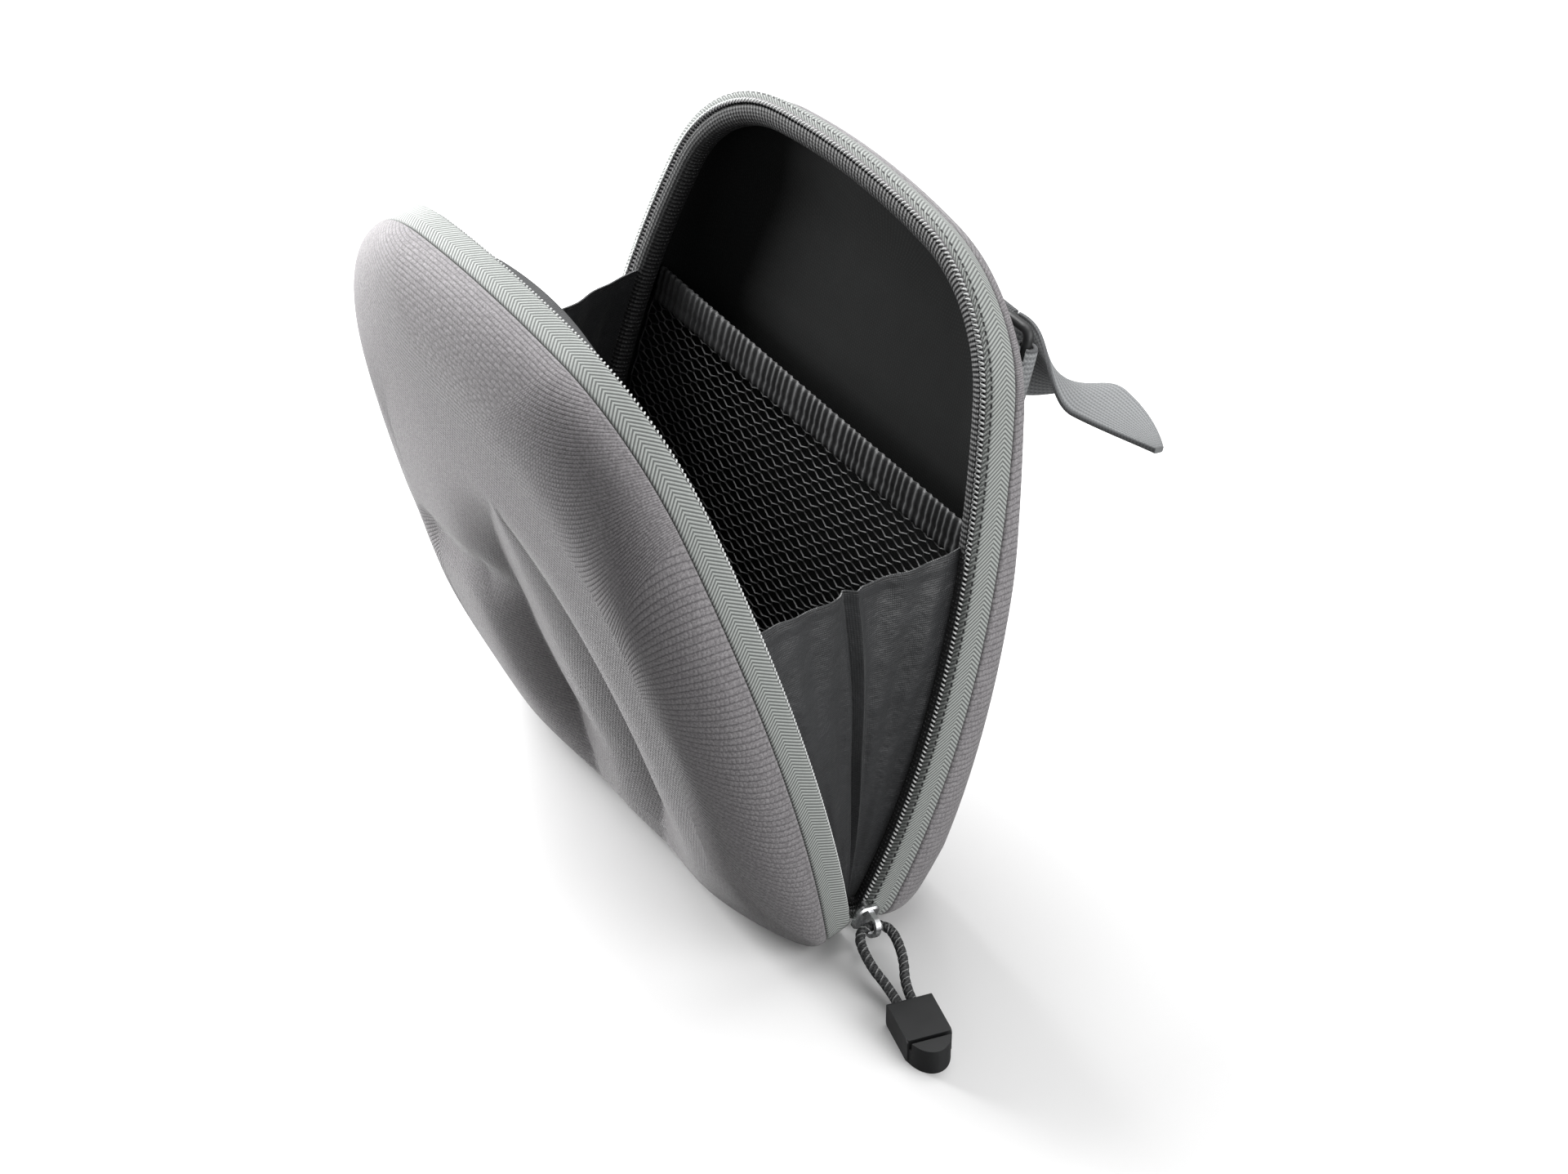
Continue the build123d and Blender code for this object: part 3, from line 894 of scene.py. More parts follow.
@dataclass(frozen=True)
class RimOutline:
    """Outline of the case in the plane of the rim: straight foot, long side arcs and a crown."""

    half_width: float = 91.3
    height: float = 206.0
    widest: float = 77.0
    side_radius: float = 310.0
    crown_radius: float = 260.0
    top_corner: float = 50.0
    bottom_corner: float = 10.0
    length: float = 686.8
    shares: tuple[float, ...] = (0.2146, 0.0393, 0.4744, 0.1642, 0.1075)

    def at(self, along: Array, inset: Array, top: Array | None = None, bottom: Array | None = None) -> tuple:
        """Points on the outline, moved in.

        Args:
            along: From 0 at the middle of the foot, up the right side, round to 1.
            inset: How far the outline is moved in.
            top: Radius of its top corners, the offset one if left out.
            bottom: Radius of its bottom corners, likewise.

        Returns:
            Across, up, and the two parts of the outward normal.
        """
        along = np.asarray(along, float)
        inset = np.broadcast_to(np.asarray(inset, float), along.shape)
        top = self.top_corner - inset if top is None else top
        bottom = self.bottom_corner - inset if bottom is None else bottom
        turn = np.mod(along, 1.0)
        side = np.where(turn <= 0.5, 1.0, -1.0)
        run = np.where(turn <= 0.5, turn, 1 - turn) * 2
        centre_x, crown_y = self.half_width - self.side_radius, self.height - self.crown_radius
        side_r, crown_r = self.side_radius - inset, self.crown_radius - inset
        low_y = inset + bottom
        low_x = centre_x + np.sqrt((side_r - bottom) ** 2 - (low_y - self.widest) ** 2)
        reach = np.hypot(centre_x, self.widest - crown_y)
        near, far = side_r - top, crown_r - top
        foot = (near**2 - far**2 + reach**2) / (2 * reach)
        rise = np.sqrt(near**2 - foot**2)
        ex, ey = -centre_x / reach, (crown_y - self.widest) / reach
        high_x = centre_x + foot * ex - rise * ey
        high_y = self.widest + foot * ey + rise * ex
        low_turn = np.arctan2(low_y - self.widest, low_x - centre_x)
        high_turn = np.arctan2(high_y - self.widest, high_x - centre_x)
        crown_turn = np.arctan2(high_y - crown_y, high_x)
        ends = np.cumsum(self.shares)
        piece = np.minimum(np.searchsorted(ends, run), 4)
        starts = np.concatenate([[0], ends])[piece]
        share = np.clip((run - starts) / np.asarray(self.shares)[piece], 0, 1)
        right = np.zeros_like(run)
        first = np.choose(piece, [right, right - pi / 2, low_turn, high_turn, crown_turn])
        last = np.choose(piece, [right, low_turn, high_turn, crown_turn, right + pi / 2])
        angle = np.where(piece == 0, -pi / 2, first + (last - first) * share)
        hub_x = np.choose(piece, [right, low_x, right + centre_x, high_x, right])
        hub_y = np.choose(piece, [right, low_y, right + self.widest, high_y, right + crown_y])
        radius = np.choose(piece, [right, bottom, side_r, top, crown_r])
        x = np.where(piece == 0, low_x * share, hub_x + radius * np.cos(angle))
        y = np.where(piece == 0, inset, hub_y + radius * np.sin(angle))
        return side * x, y, side * np.cos(angle), np.sin(angle)

    def half_width_at(self, height: Array, inset: float) -> Array:
        """Half width of the outline at heights on its side, moved in by an inset."""
        x, y, _, _ = self.at(np.linspace(0.09, 0.4, 3001), inset)
        return np.interp(height, y, x)


RIM = RimOutline()


@dataclass(frozen=True)
class Leaf:
    """Relief of the front face: a leaf with a raised spine between two creases."""

    centre: float = 4.0
    half_width: float = 25.0
    half_length: float = 84.0
    middle: float = 58.0
    tip: float = 148.0
    depth: float = 10.0
    fade: float = 2.4
    pad: float = 32.0
    spine_drop: float = 0.62
    softness: float = 0.7
    foot_share: float = 0.12
    foot_rise: float = 36.0
    waist_height: float = 86.0
    waist_depth: float = 3.4
    waist_slope: float = 0.12
    waist_width: float = 10.0
    waist_start: float = 24.0
    waist_from: tuple[float, float] = (12.0, 24.0)
    waist_to: tuple[float, float] = (86.0, 20.0)

    def sunk(self, x: Array, s: Array) -> Array:
        """How far the relief lies below the face at points of it, creases softened."""
        spread = (-self.softness, 0.0, self.softness)
        return sum(self._sharp(x + away, s) for away in spread) / len(spread)

    def _sharp(self, x: Array, s: Array) -> Array:
        """The relief before its creases are softened.

        Args:
            x: Across the face.
            s: Up it.

        Returns:
            Depths below the face.
        """
        share = np.clip((s - self.middle) / self.half_length, -0.98, 0.98)
        crease = self.half_width * (1 - share**2) ** 0.7
        depth = self.depth * (1 - np.clip(s / self.tip, 0, 1) ** self.fade)
        across = np.abs(x - self.centre)
        slope = np.clip(across / crease, 0, 1)
        inner = depth * (self.spine_drop + (1 - self.spine_drop) * slope**1.6)
        outer = depth * np.clip(1 - (across - crease) / self.pad, 0, 1) ** 2
        foot = self.foot_share + (1 - self.foot_share) * np.clip(s / self.foot_rise, 0, 1)
        leaf = np.where(across <= crease, inner, outer) * foot
        (near, near_run), (far, far_run) = self.waist_from, self.waist_to
        beyond = np.clip((-x - near) / near_run, 0, 1) * np.clip((x + far) / far_run, 0, 1)
        line = self.waist_height - self.waist_slope * (-x - self.waist_start)
        return leaf + self.waist_depth * beyond * np.exp(-(((s - line) / self.waist_width) ** 2))


@dataclass(frozen=True)
class Mould:
    """One moulded half: how deep it is and how its edge is rounded."""

    half: Half
    depth: float
    rounding: float
    leaf: Leaf | None = None
    face_drop: float = 0.0
    dome: float = 0.0
    belly: float = 0.0
    taper: float = 0.0
    shoulder: float = 0.0
    crown_fall: float = 0.0
    heel: float = 0.0
    flatness: float = 0.7
    bulge: float = 2.4
    top_growth: float = 0.2
    bottom_growth: float = 1.1
    face_reach: tuple[float, float] = (84.0, 92.0)
    belly_height: float = 24.0
    belly_run: float = 110.0
    shoulder_from: tuple[float, float] = (46.0, 110.0)
    shoulder_run: tuple[float, float] = (44.0, 90.0)
    crest_from: float = 166.0
    crest_run: float = 38.0
    heel_height: float = 56.0
    heel_middle: float = 0.35
    press_softness: float = 1.2

    def rows(self, inwards: float, rim: Sequence[tuple[float, float]], steps: int) -> Array:
        """Rings of the skin from the rim to the face.

        Args:
            inwards: How far the skin is moved in.
            rim: Inset and depth of the rings before the rounding.
            steps: Rings over the rounding.

        Returns:
            Rows of inset, depth, how far the corners have opened, and shift towards the hinge.
        """
        across = self.rounding - inwards
        down = self.rounding * self.flatness - inwards
        rows = [(inset, d, 0.0, 0.0) for inset, d in rim]
        for angle in np.linspace(0, pi / 2, steps):
            share = 1 - cos(angle)
            level = self.depth - inwards - down * (1 - sin(angle))
            opened = across * share
            rows.append((inwards - self.bulge + opened, level, opened, self.face_drop * share))
        return np.array(rows)

    def corners(self, inwards: float, inset: Array, opened: Array, moulded: Array) -> tuple[Array, Array]:
        """Top and bottom corner radii: offset ones at the rim, opened ones over the rounding.

        Args:
            inwards: How far the skin is moved in.
            inset: Inset of each point.
            opened: How far the corners have opened there.
            moulded: Whether the point is past the rim.

        Returns:
            The two radii.
        """
        base = inwards - self.bulge
        top = np.where(moulded, RIM.top_corner - base + self.top_growth * opened, RIM.top_corner - inset)
        bottom = np.where(
            moulded, RIM.bottom_corner - base + self.bottom_growth * opened, RIM.bottom_corner - inset
        )
        return top, bottom

    def on_ground(self, x: Array, s: Array, d: Array) -> Array:
        """Points of the skin in metres, pressed flat where they would sink into the floor."""
        return np.maximum(self.half.place(x, s, d), (-1, -1, 0))

    def swell(self, x: Array, s: Array) -> Array:
        """How far the face rises over its plane: domed, full at the foot, falling at the crown.

        Args:
            x: Across the face.
            s: Up it.

        Returns:
            Heights over the plane of the face.
        """
        half_wide, half_tall = self.face_reach
        wide = np.clip(1 - (x / half_wide) ** 2, 0, 1) * np.clip(1 - ((s - half_tall) / half_tall) ** 2, 0, 1)
        above = (s - self.belly_height) / self.belly_run
        full = np.clip(s / self.belly_height, 0, 1) * np.clip(1 - above, 0, 1)
        far = eased((np.abs(x) - self.shoulder_from[0]) / self.shoulder_run[0])
        high = eased((s - self.shoulder_from[1]) / self.shoulder_run[1])
        crest = eased((s - self.crest_from) / self.crest_run)
        low = np.clip(1 - s / self.heel_height, 0, 1) ** 1.5
        low = low * (self.heel_middle + (1 - self.heel_middle) * far)
        rise = self.dome * wide + self.belly * full - self.taper * s / RIM.height - self.heel * low
        return rise - self.shoulder * high * far - self.crown_fall * crest

    def face_at(self, x: Array, s: Array) -> Array:
        """Depth of the flat of the face at a place across it."""
        return self.depth + self.swell(x, s)

    def pressed(self, x: Array, s: Array, d: Array, inwards: float) -> Array:
        """Depths of the skin once its face is swollen and the relief is pressed in.

        Args:
            x: Across the skin.
            s: Up it.
            d: Depths of its rows.
            inwards: How far it is moved in.

        Returns:
            The depths to lay it at.
        """
        face = self.depth - inwards
        start = self.depth - self.rounding * self.flatness
        swell = self.swell(x, s)
        d = d + swell * np.clip((d - start) / (face - start), 0, 1)
        if self.leaf is None:
            return d
        limit = face + swell - self.leaf.sunk(x, s)
        soft = self.press_softness
        share = np.clip(0.5 + 0.5 * (limit - d) / soft, 0, 1)
        return d * share + limit * (1 - share) - soft * share * (1 - share)

    def skin(
        self, name: str, inwards: float, rim: Sequence[tuple[float, float]], round_cells: int, steps: int
    ) -> Object:
        """The half's skin as one welded surface: rings round the wall, a patch over the face.

        Args:
            name: The piece's name.
            inwards: How far it lies inside the outer skin.
            rim: Inset and depth of its rings before the rounding.
            round_cells: Cells round the outline, a multiple of 60.
            steps: Rings over the rounding.

        Returns:
            The surface, without thickness.
        """
        rows = self.rows(inwards, rim, steps)
        runs = np.hypot(np.diff(rows[:, 0]), np.diff(rows[:, 1]))
        arcs = np.concatenate([np.cumsum(runs[::-1])[::-1], [0]])
        wall, u, v = Bench.grid(name, round_cells, len(rows) - 1)
        row = np.rint(v * (len(rows) - 1)).astype(int)
        inset, d, opened, dropped = rows[row].T
        moulded = row >= len(rim)
        top, bottom = self.corners(inwards, inset, opened, moulded)
        x, s, _, _ = RIM.at(u, inset, top, bottom)
        s = s - dropped
        last = rows[-1]
        top, bottom = self.corners(inwards, last[0], last[2], True)
        face_x, face_s, face_nx, face_ns = RIM.at(u, last[0], top, bottom)
        d = self.pressed(x, s, d, inwards)
        pattern = np.stack([face_x + face_nx * arcs[row], face_s - last[3] + face_ns * arcs[row]], -1)
        Bench.lay(wall, self.on_ground(x, s, d), pattern)

        low = round_cells * 7 // 60 / round_cells
        high = 0.5 - low
        cells = (round(2 * low * round_cells), round((high - low) * round_cells))
        face, u, v = Bench.grid(name + "_face", *cells)

        def edge(along: Array) -> Array:
            """The edge of the face, across and up."""
            return np.stack(RIM.at(along, last[0], top, bottom)[:2])

        foot, crown = edge(-low + 2 * low * u), edge(1 - high - (1 - 2 * high) * u)
        left, right = edge(1 - low - (high - low) * v), edge(low + (high - low) * v)
        ends = {(0, 0): 1 - low, (1, 0): low, (0, 1): 1 - high, (1, 1): high}
        patch = foot * (1 - v) + crown * v + left * (1 - u) + right * u - [[0], [last[3]]]
        for (i, j), along in ends.items():
            end = edge(np.array(along))[:, None]
            patch = patch - end * (u if i else 1 - u) * (v if j else 1 - v)
        x, s = patch
        d = self.pressed(x, s, np.full_like(x, last[1]), inwards)
        Bench.lay(face, self.on_ground(x, s, d), patch.T)
        return Bench.weld(Bench.join(wall, face), 0.05)


def crown_middle(half: Half) -> Array:
    """A point inside a half, in metres."""
    return half.place(0, RIM.height / 2, 4)


@dataclass(frozen=True)
class MouldedHalf:
    """Shell and lining of one half."""

    mould: Mould
    shell_cells: tuple[int, int] = (600, 26)
    lining_cells: tuple[int, int] = (360, 14)
    shading: float = 50.0
    skin_thickness: float = 2.2
    lining_inwards: float = 4.0
    lining_thickness: float = 0.7
    skin_rim: tuple[tuple[float, float], ...] = (
        (-1.0, 0.1), (-1.0, 4.0), (-1.0, 8.1), (-1.25, 8.6), (-1.8, 8.7), (-2.2, 8.9),
        (-2.45, 9.3), (-2.5, 9.7),
    )
    lining_rim: tuple[tuple[float, float], ...] = ((3.0, 8.3), (2.8, 8.8), (2.2, 9.4), (1.8, 9.9))

    def build(self) -> None:
        """Makes the shell and the lining."""
        half = self.mould.half
        name = half.body
        shell = self.mould.skin(name + "_shell_skin", 0.0, self.skin_rim, *self.shell_cells)
        Bench.cloth(shell, crown_middle(half), self.skin_thickness, self.shading)
        Bench.fit(shell, name, ShellCloth(), name + "_shell")
        lining = self.mould.skin(
            name + "_lining_cloth", self.lining_inwards, self.lining_rim, *self.lining_cells
        )
        Bench.cloth(lining, crown_middle(half), self.lining_thickness, self.shading, outwards=True)
        Bench.fit(lining, name, LiningCloth(), name + "_lining")


@dataclass(frozen=True)
class RimTrim:
    """Zip tape, coil and ribbed binding along the rim of one half."""

    half: Half
    start: float = 73.4
    tape_rows: tuple[tuple[float, float], ...] = (
        (-1.1, 8.4), (-1.75, 8.42), (-2.2, 8.2), (-2.35, 7.6), (-2.42, 6.0), (-2.42, 4.0),
        (-2.38, 2.0), (-2.3, 0.9), (-2.0, 0.2), (-1.4, -0.1), (-0.6, -0.15), (0.1, -0.15),
    )
    binding_rows: tuple[tuple[float, float], ...] = (
        (1.4, -0.2), (1.9, -0.5), (3.0, -0.6), (4.6, -0.4), (6.0, 0.2), (7.0, 1.2), (7.4, 2.6),
        (7.3, 4.2), (6.6, 5.8), (5.0, 7.2), (3.1, 8.2),
    )
    tape_cells: int = 460
    binding_cells: int = 920
    tape_thickness: float = 0.8
    binding_thickness: float = 0.6
    coil_inset: float = 0.85
    coil_level: float = -0.62
    coil_pitch: float = 1.5
    coil_radii: tuple[float, float] = (0.7, 0.46)
    wire: float = 0.31

    def ends(self, reach: float) -> tuple[float, float]:
        """Where a trim starts and ends along the outline, from how far across it starts.

        Args:
            reach: Half of what is left out at the foot.

        Returns:
            The two shares of the outline.
        """
        straight = RIM.at(np.array(RIM.shares[0] / 2 - 1e-6), 0.0)[0]
        first = float(RIM.shares[0] / 2 * reach / straight)
        return first, 1 - first

    def strip(self, name: str, rows: Sequence[tuple[float, float]], cells: int) -> Object:
        """A strip of cloth laid along the rim through rows of inset and depth.

        Args:
            name: The piece's name.
            rows: Inset and depth of its rows.
            cells: Cells along it.

        Returns:
            The strip, without thickness.
        """
        rows = np.array(rows)
        arcs = np.concatenate([[0], np.cumsum(np.hypot(*np.diff(rows, axis=0).T))])
        first, last = self.ends(self.start)
        strip, u, v = Bench.grid(name, cells, len(rows) - 1)
        row = np.rint(v * (len(rows) - 1)).astype(int)
        along = first + (last - first) * u
        x, s, _, _ = RIM.at(along, rows[row, 0])
        pattern = np.stack([along * RIM.length, arcs[row]], -1)
        return Bench.lay(strip, self.half.place(x, s, rows[row, 1]), pattern)

    def tape(self) -> Object:
        """The zip tape, turned over the edge of the rim.

        Returns:
            The finished piece.
        """
        name = self.half.body
        tape = self.strip(name + "_tape_cloth", self.tape_rows, self.tape_cells)
        Bench.cloth(tape, crown_middle(self.half), self.tape_thickness)
        return Bench.fit(tape, name, TapeCloth(), name + "_zip_tape")

    def binding(self) -> Object:
        """The binding over the inner edge.

        Returns:
            The finished piece.
        """
        name = self.half.body
        binding = self.strip(name + "_binding", self.binding_rows, self.binding_cells)
        Bench.cloth(binding, crown_middle(self.half), self.binding_thickness, outwards=True)
        return Bench.fit(binding, name, RibbedBinding(), name + "_inner_tape")

    def coil(self) -> Object:
        """The nylon coil, one wire wound along the edge.

        Returns:
            The finished piece.
        """
        name = self.half.body
        first, last = self.ends(self.start + 3.0)
        turns = ceil((last - first) * RIM.length / self.coil_pitch)
        steps, sides = 10, 5
        coil, u, v = Bench.grid(name + "_coil", turns * steps, sides)
        axis, level = self.coil_radii

        def wound(run: Array) -> tuple[Array, Array]:
            """Points along the wire, and how far they lie from the coil's middle.

            Args:
                run: Shares of the wire's length.

            Returns:
                Both in metres.
            """
            along = first + (last - first) * run
            turn = 2 * pi * turns * run
            x, s, nx, ns = RIM.at(along, self.coil_inset)
            out = axis * np.cos(turn)
            middle = self.half.place(x, s, self.coil_level)
            here = self.half.place(x + nx * out, s + ns * out, self.coil_level - level * np.sin(turn))
            return here, here - middle

        here, away = wound(u)
        after, _ = wound(u + 1e-5)
        heading = (after - here) / np.linalg.norm(after - here, axis=1)[:, None]
        away = away / np.linalg.norm(away, axis=1)[:, None]
        beside = np.cross(heading, away)
        around = (2 * pi * v)[:, None]
        points = here + self.wire * MM * (np.cos(around) * away + np.sin(around) * beside)
        # the first pattern coordinate marks the outer crown of each turn, where the coil's finish paints its
        # highlight
        crown = 0.5 + 0.5 * np.cos(2 * pi * turns * u)
        Bench.lay(coil, points, np.stack([crown, u * RIM.length], -1))
        Bench.weld(coil, 0.001)
        Bench.smooth(coil, 80)
        return Bench.fit(coil, name, CoilPlastic(), name + "_zip_teeth")

    def build(self) -> None:
        """Makes the trim of this half."""
        self.tape()
        self.coil()
        self.binding()


@dataclass(frozen=True)
class ZipGuardLip:
    """Padded crescent inside the crown of the front half."""

    half_length: float = 48.0
    rise: float = 7.0
    seat: float = 8.0
    inset: float = 8.8
    lean: float = 0.25
    half_thickness: float = 1.15

    def build(self) -> Object:
        """Makes the lip as a closed pillow that thins towards its ends.

        Returns:
            The finished piece.
        """
        lip, u, v = Bench.grid("zip_guard_pad", 96, 24)
        x = self.half_length * np.sin((u - 0.5) * pi)
        dense = np.linspace(0.3, 0.7, 2001)
        dense_x = RIM.at(dense, self.inset)[0]
        along = np.interp(x, dense_x[::-1], dense[::-1])
        fall = 1 - (x / self.half_length) ** 2
        low, high = -self.rise * fall, self.seat * fall
        reach = (high - low) / 2 + 0.02
        turn = 2 * pi * v
        d = (low + high) / 2 + reach * np.cos(turn)
        swell = fuller(np.sin(turn), 0.6)
        thick = self.half_thickness * np.minimum(1, 0.15 + 2.5 * fall)
        inset = self.inset + thick * swell + self.lean * np.clip(-d, 0, None)
        px, ps, _, _ = RIM.at(along, inset)
        Bench.lay(lip, Half.FRONT.place(px, ps, d), np.stack([x, v * 30], -1))
        Bench.weld(lip, 0.03)
        Bench.smooth(lip, 70)
        return Bench.fit(lip, "front", LipCloth(), "zip_guard_lip")


@dataclass(frozen=True)
class Gusset:
    """Side gusset: a fan of nylon with a pleat down its middle and a stitched hem."""

    side: int
    inset: float = 4.5
    foot: float = 7.0
    top: float = 127.5
    margin: float = 6.8
    margin_share: float = 0.14
    tuck: float = 4.0
    pleat: float = 1.7
    hem: float = 5.5
    thickness: float = 0.45
    bend_reach: float = 12.0
    mouth_sag: float = 2.0
    opens_over: float = 60.0
    hem_height: float = 0.35
    flat: tuple[float, float] = (0.084, 0.123)
    area: float = 0.0062
    folds: tuple[tuple[float, float, float], ...] = ((1.0, 0.03, 0.045), (-0.7, -0.06, 0.03))
    ripples: tuple[tuple[float, float, float, float], ...] = ((0.5, 7, 0.05, 0), (0.35, 17, -0.09, 1))

    def crumple(self, across: Array, s: Array) -> Array:
        """How far the nylon lies inwards: its tuck, pleat, ripples and hem.

        Args:
            across: From -1 at the front rim to 1 at the rear one.
            s: Height along the rim.

        Returns:
            Distances towards the middle of the case.
        """
        free = 1 - np.abs(across)
        slack = np.clip((s - self.foot) / self.opens_over, 0, 1)
        fold = self.tuck * free**1.2
        pleat = sum(height * np.exp(-(((across - at) / wide) ** 2)) for height, at, wide in self.folds)
        pleat = self.pleat * pleat * np.clip(free * 3, 0, 1)
        ripple = sum(height * np.sin(across * a + s * b + c) for height, a, b, c in self.ripples)
        ripple = ripple * np.clip(free * 4, 0, 1)
        hem = np.clip((s - (self.top - self.hem)) / 0.6, 0, 1) * np.clip(free * 20, 0, 1)
        return (fold - pleat + ripple) * slack - self.hem_height * hem

    def build(self) -> Object:
        """Makes the gusset, which folds between the halves.

        Returns:
            The finished piece.
        """
        name = "right_gusset" if self.side > 0 else "left_gusset"
        sheet, u, v = Bench.grid(name + "_cloth", 72, 90)
        w = (u * 2 - 1) / (1 - self.margin_share)
        across = np.clip(w, -1, 1)
        sag = self.mouth_sag * (1 - across**2) * v**6
        s = self.foot + (self.top - self.foot) * v - sag
        x = RIM.half_width_at(s, self.inset)
        sewn = np.clip(np.abs(w) - 1, 0, None) / (1 / (1 - self.margin_share) - 1) * self.margin
        front = Half.FRONT.place(self.side * x, s, sewn) / MM
        rear = Half.REAR.place(self.side * x, s, sewn) / MM
        share = ((across + 1) / 2)[:, None]
        points = front * (1 - share) + rear * share
        points[:, 0] -= self.side * self.crumple(across, s)
        pattern = np.stack([across * 40, self.top - s], -1)
        Bench.lay(sheet, points * MM, pattern)
        Bench.cloth(sheet, crown_middle(Half.REAR) * (0, 0, 1), self.thickness)
        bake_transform(sheet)
        Bench.dress(sheet, GussetNylon())
        return Bench.stand_for(sheet, name)


@dataclass(frozen=True)
class HingeStrip:
    """Cloth hinge along the foot of the case."""

    half_length: float = 73.0
    inset: float = -2.35
    wing: float = 8.4
    thickness: float = 1.1

    def build(self) -> Object:
        """Makes the strip, which bends along the hinge line.

        Returns:
            The finished piece.
        """
        strip, u, v = Bench.grid("hinge_cloth", 120, 40)
        x = (u * 2 - 1) * self.half_length
        out = np.abs(v * 2 - 1) * (self.wing + 1.5) - 1.5
        soft = 0.55 * np.exp(-((out + 1.5) / 1.2) ** 2)
        sides = [half.place(x, self.inset + soft, np.maximum(out, -1.5)) for half in Half]
        points = np.where((v > 0.5)[:, None], sides[1], sides[0])
        middle = np.abs(v - 0.5) < 1e-6
        points[middle] = (sides[0][middle] + sides[1][middle]) / 2
        Bench.lay(strip, points, np.stack([x, v * 20], -1))
        Bench.cloth(strip, HINGE * MM + np.array([0, 0, 0.02]), self.thickness)
        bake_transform(strip)
        Bench.dress(strip, TapeCloth(name="hinge tape", stitch_rows=(2.2, 17.6), middle=10.0))
        return Bench.stand_for(strip, "hinge_strip")


@dataclass(frozen=True)
class MeshPocket:
    """Net pocket across the lower part of the rear half, with a gathered band at its mouth."""

    inset: float = 3.6
    low: float = 4.2
    high: float = 117.0
    mouth: float = 127.0
    level: float = 10.25
    cells: tuple[int, int] = (62, 50)
    cord: float = 0.55
    slack: float = 1.5
    zigzag: float = 0.22
    gather: float = 0.3
    band_swell: float = 0.75
    seams: tuple[float, float] = (119.5, 123.8)
    seam_width: float = 0.5
    seam_depth: float = 0.45

    def net(self) -> Object:
        """The net: a grid made into hexagons, then into cord.

        Returns:
            The finished piece.
        """
        net, u, v = Bench.grid("pocket_net", *self.cells)
        columns, rows = self.cells
        column, row = np.rint(u * columns).astype(int), np.rint(v * rows).astype(int)
        tall = (self.high - self.low) / rows
        inner = (row > 0) & (row < rows)
        zigzag = np.where((column + row) % 2 == 0, 1, -1) * tall * self.zigzag * inner
        s = self.low + (self.high - self.low) * v + zigzag
        x = (u * 2 - 1) * RIM.half_width_at(s, self.inset)
        belly = self.slack * np.sin(pi * np.clip(u, 0, 1)) * np.sin(pi * v)
        d = self.level - belly + 0.25 * np.sin(column * 2.1 + row * 1.3)
        Bench.lay(net, Half.REAR.place(x, s, d), np.stack([x, s], -1))
        upright = {
            tuple(sorted((j * (columns + 1) + i, (j + 1) * (columns + 1) + i)))
            for j in range(rows) for i in range(1, columns) if (i + j) % 2
        }
        Bench.hold(net)
        bpy.ops.object.mode_set(mode="EDIT")
        bpy.ops.mesh.select_all(action="DESELECT")
        bpy.ops.mesh.select_mode(type="EDGE")
        bpy.ops.object.mode_set(mode="OBJECT")
        for edge in net.data.edges:
            edge.select = tuple(sorted(edge.vertices)) in upright
        bpy.ops.object.mode_set(mode="EDIT")
        bpy.ops.mesh.dissolve_edges(use_verts=False)
        bpy.ops.object.mode_set(mode="OBJECT")
        Bench.finish_with(net, "WIREFRAME", thickness=self.cord * MM, use_even_offset=False, offset=0)
        Bench.smooth(net, 60)
        return Bench.fit(net, "rear", NetCord(), "mesh_pocket")

    def band(self) -> Object:
        """The gathered band.

        Returns:
            The finished piece.
        """
        band, u, v = Bench.grid("pocket_gathers", 480, 20)
        turn = 2 * pi * v
        tall = (self.mouth - self.high) / 2 + 0.8
        s = (self.mouth + self.high) / 2 - 0.6 + tall * np.cos(turn)
        x = (u * 2 - 1) * (RIM.half_width_at(s, self.inset) - 0.1)
        gathers = np.sin(x * 2.2 + 0.8 * np.sin(x * 0.31)) * self.gather
        seams = sum(np.exp(-(((s - at) / self.seam_width) ** 2)) for at in self.seams)
        swell = fuller(np.sin(turn), 0.5) * self.band_swell * (1 - self.seam_depth * seams)
        d = self.level - 0.5 - self.slack * 0.3 * np.sin(pi * u) + swell + gathers
        Bench.lay(band, Half.REAR.place(x, s, d), np.stack([x, v * 24], -1))
        Bench.tube(band, 60)
        return Bench.fit(band, "rear", NetCord(name="gathered band"), "pocket_band")


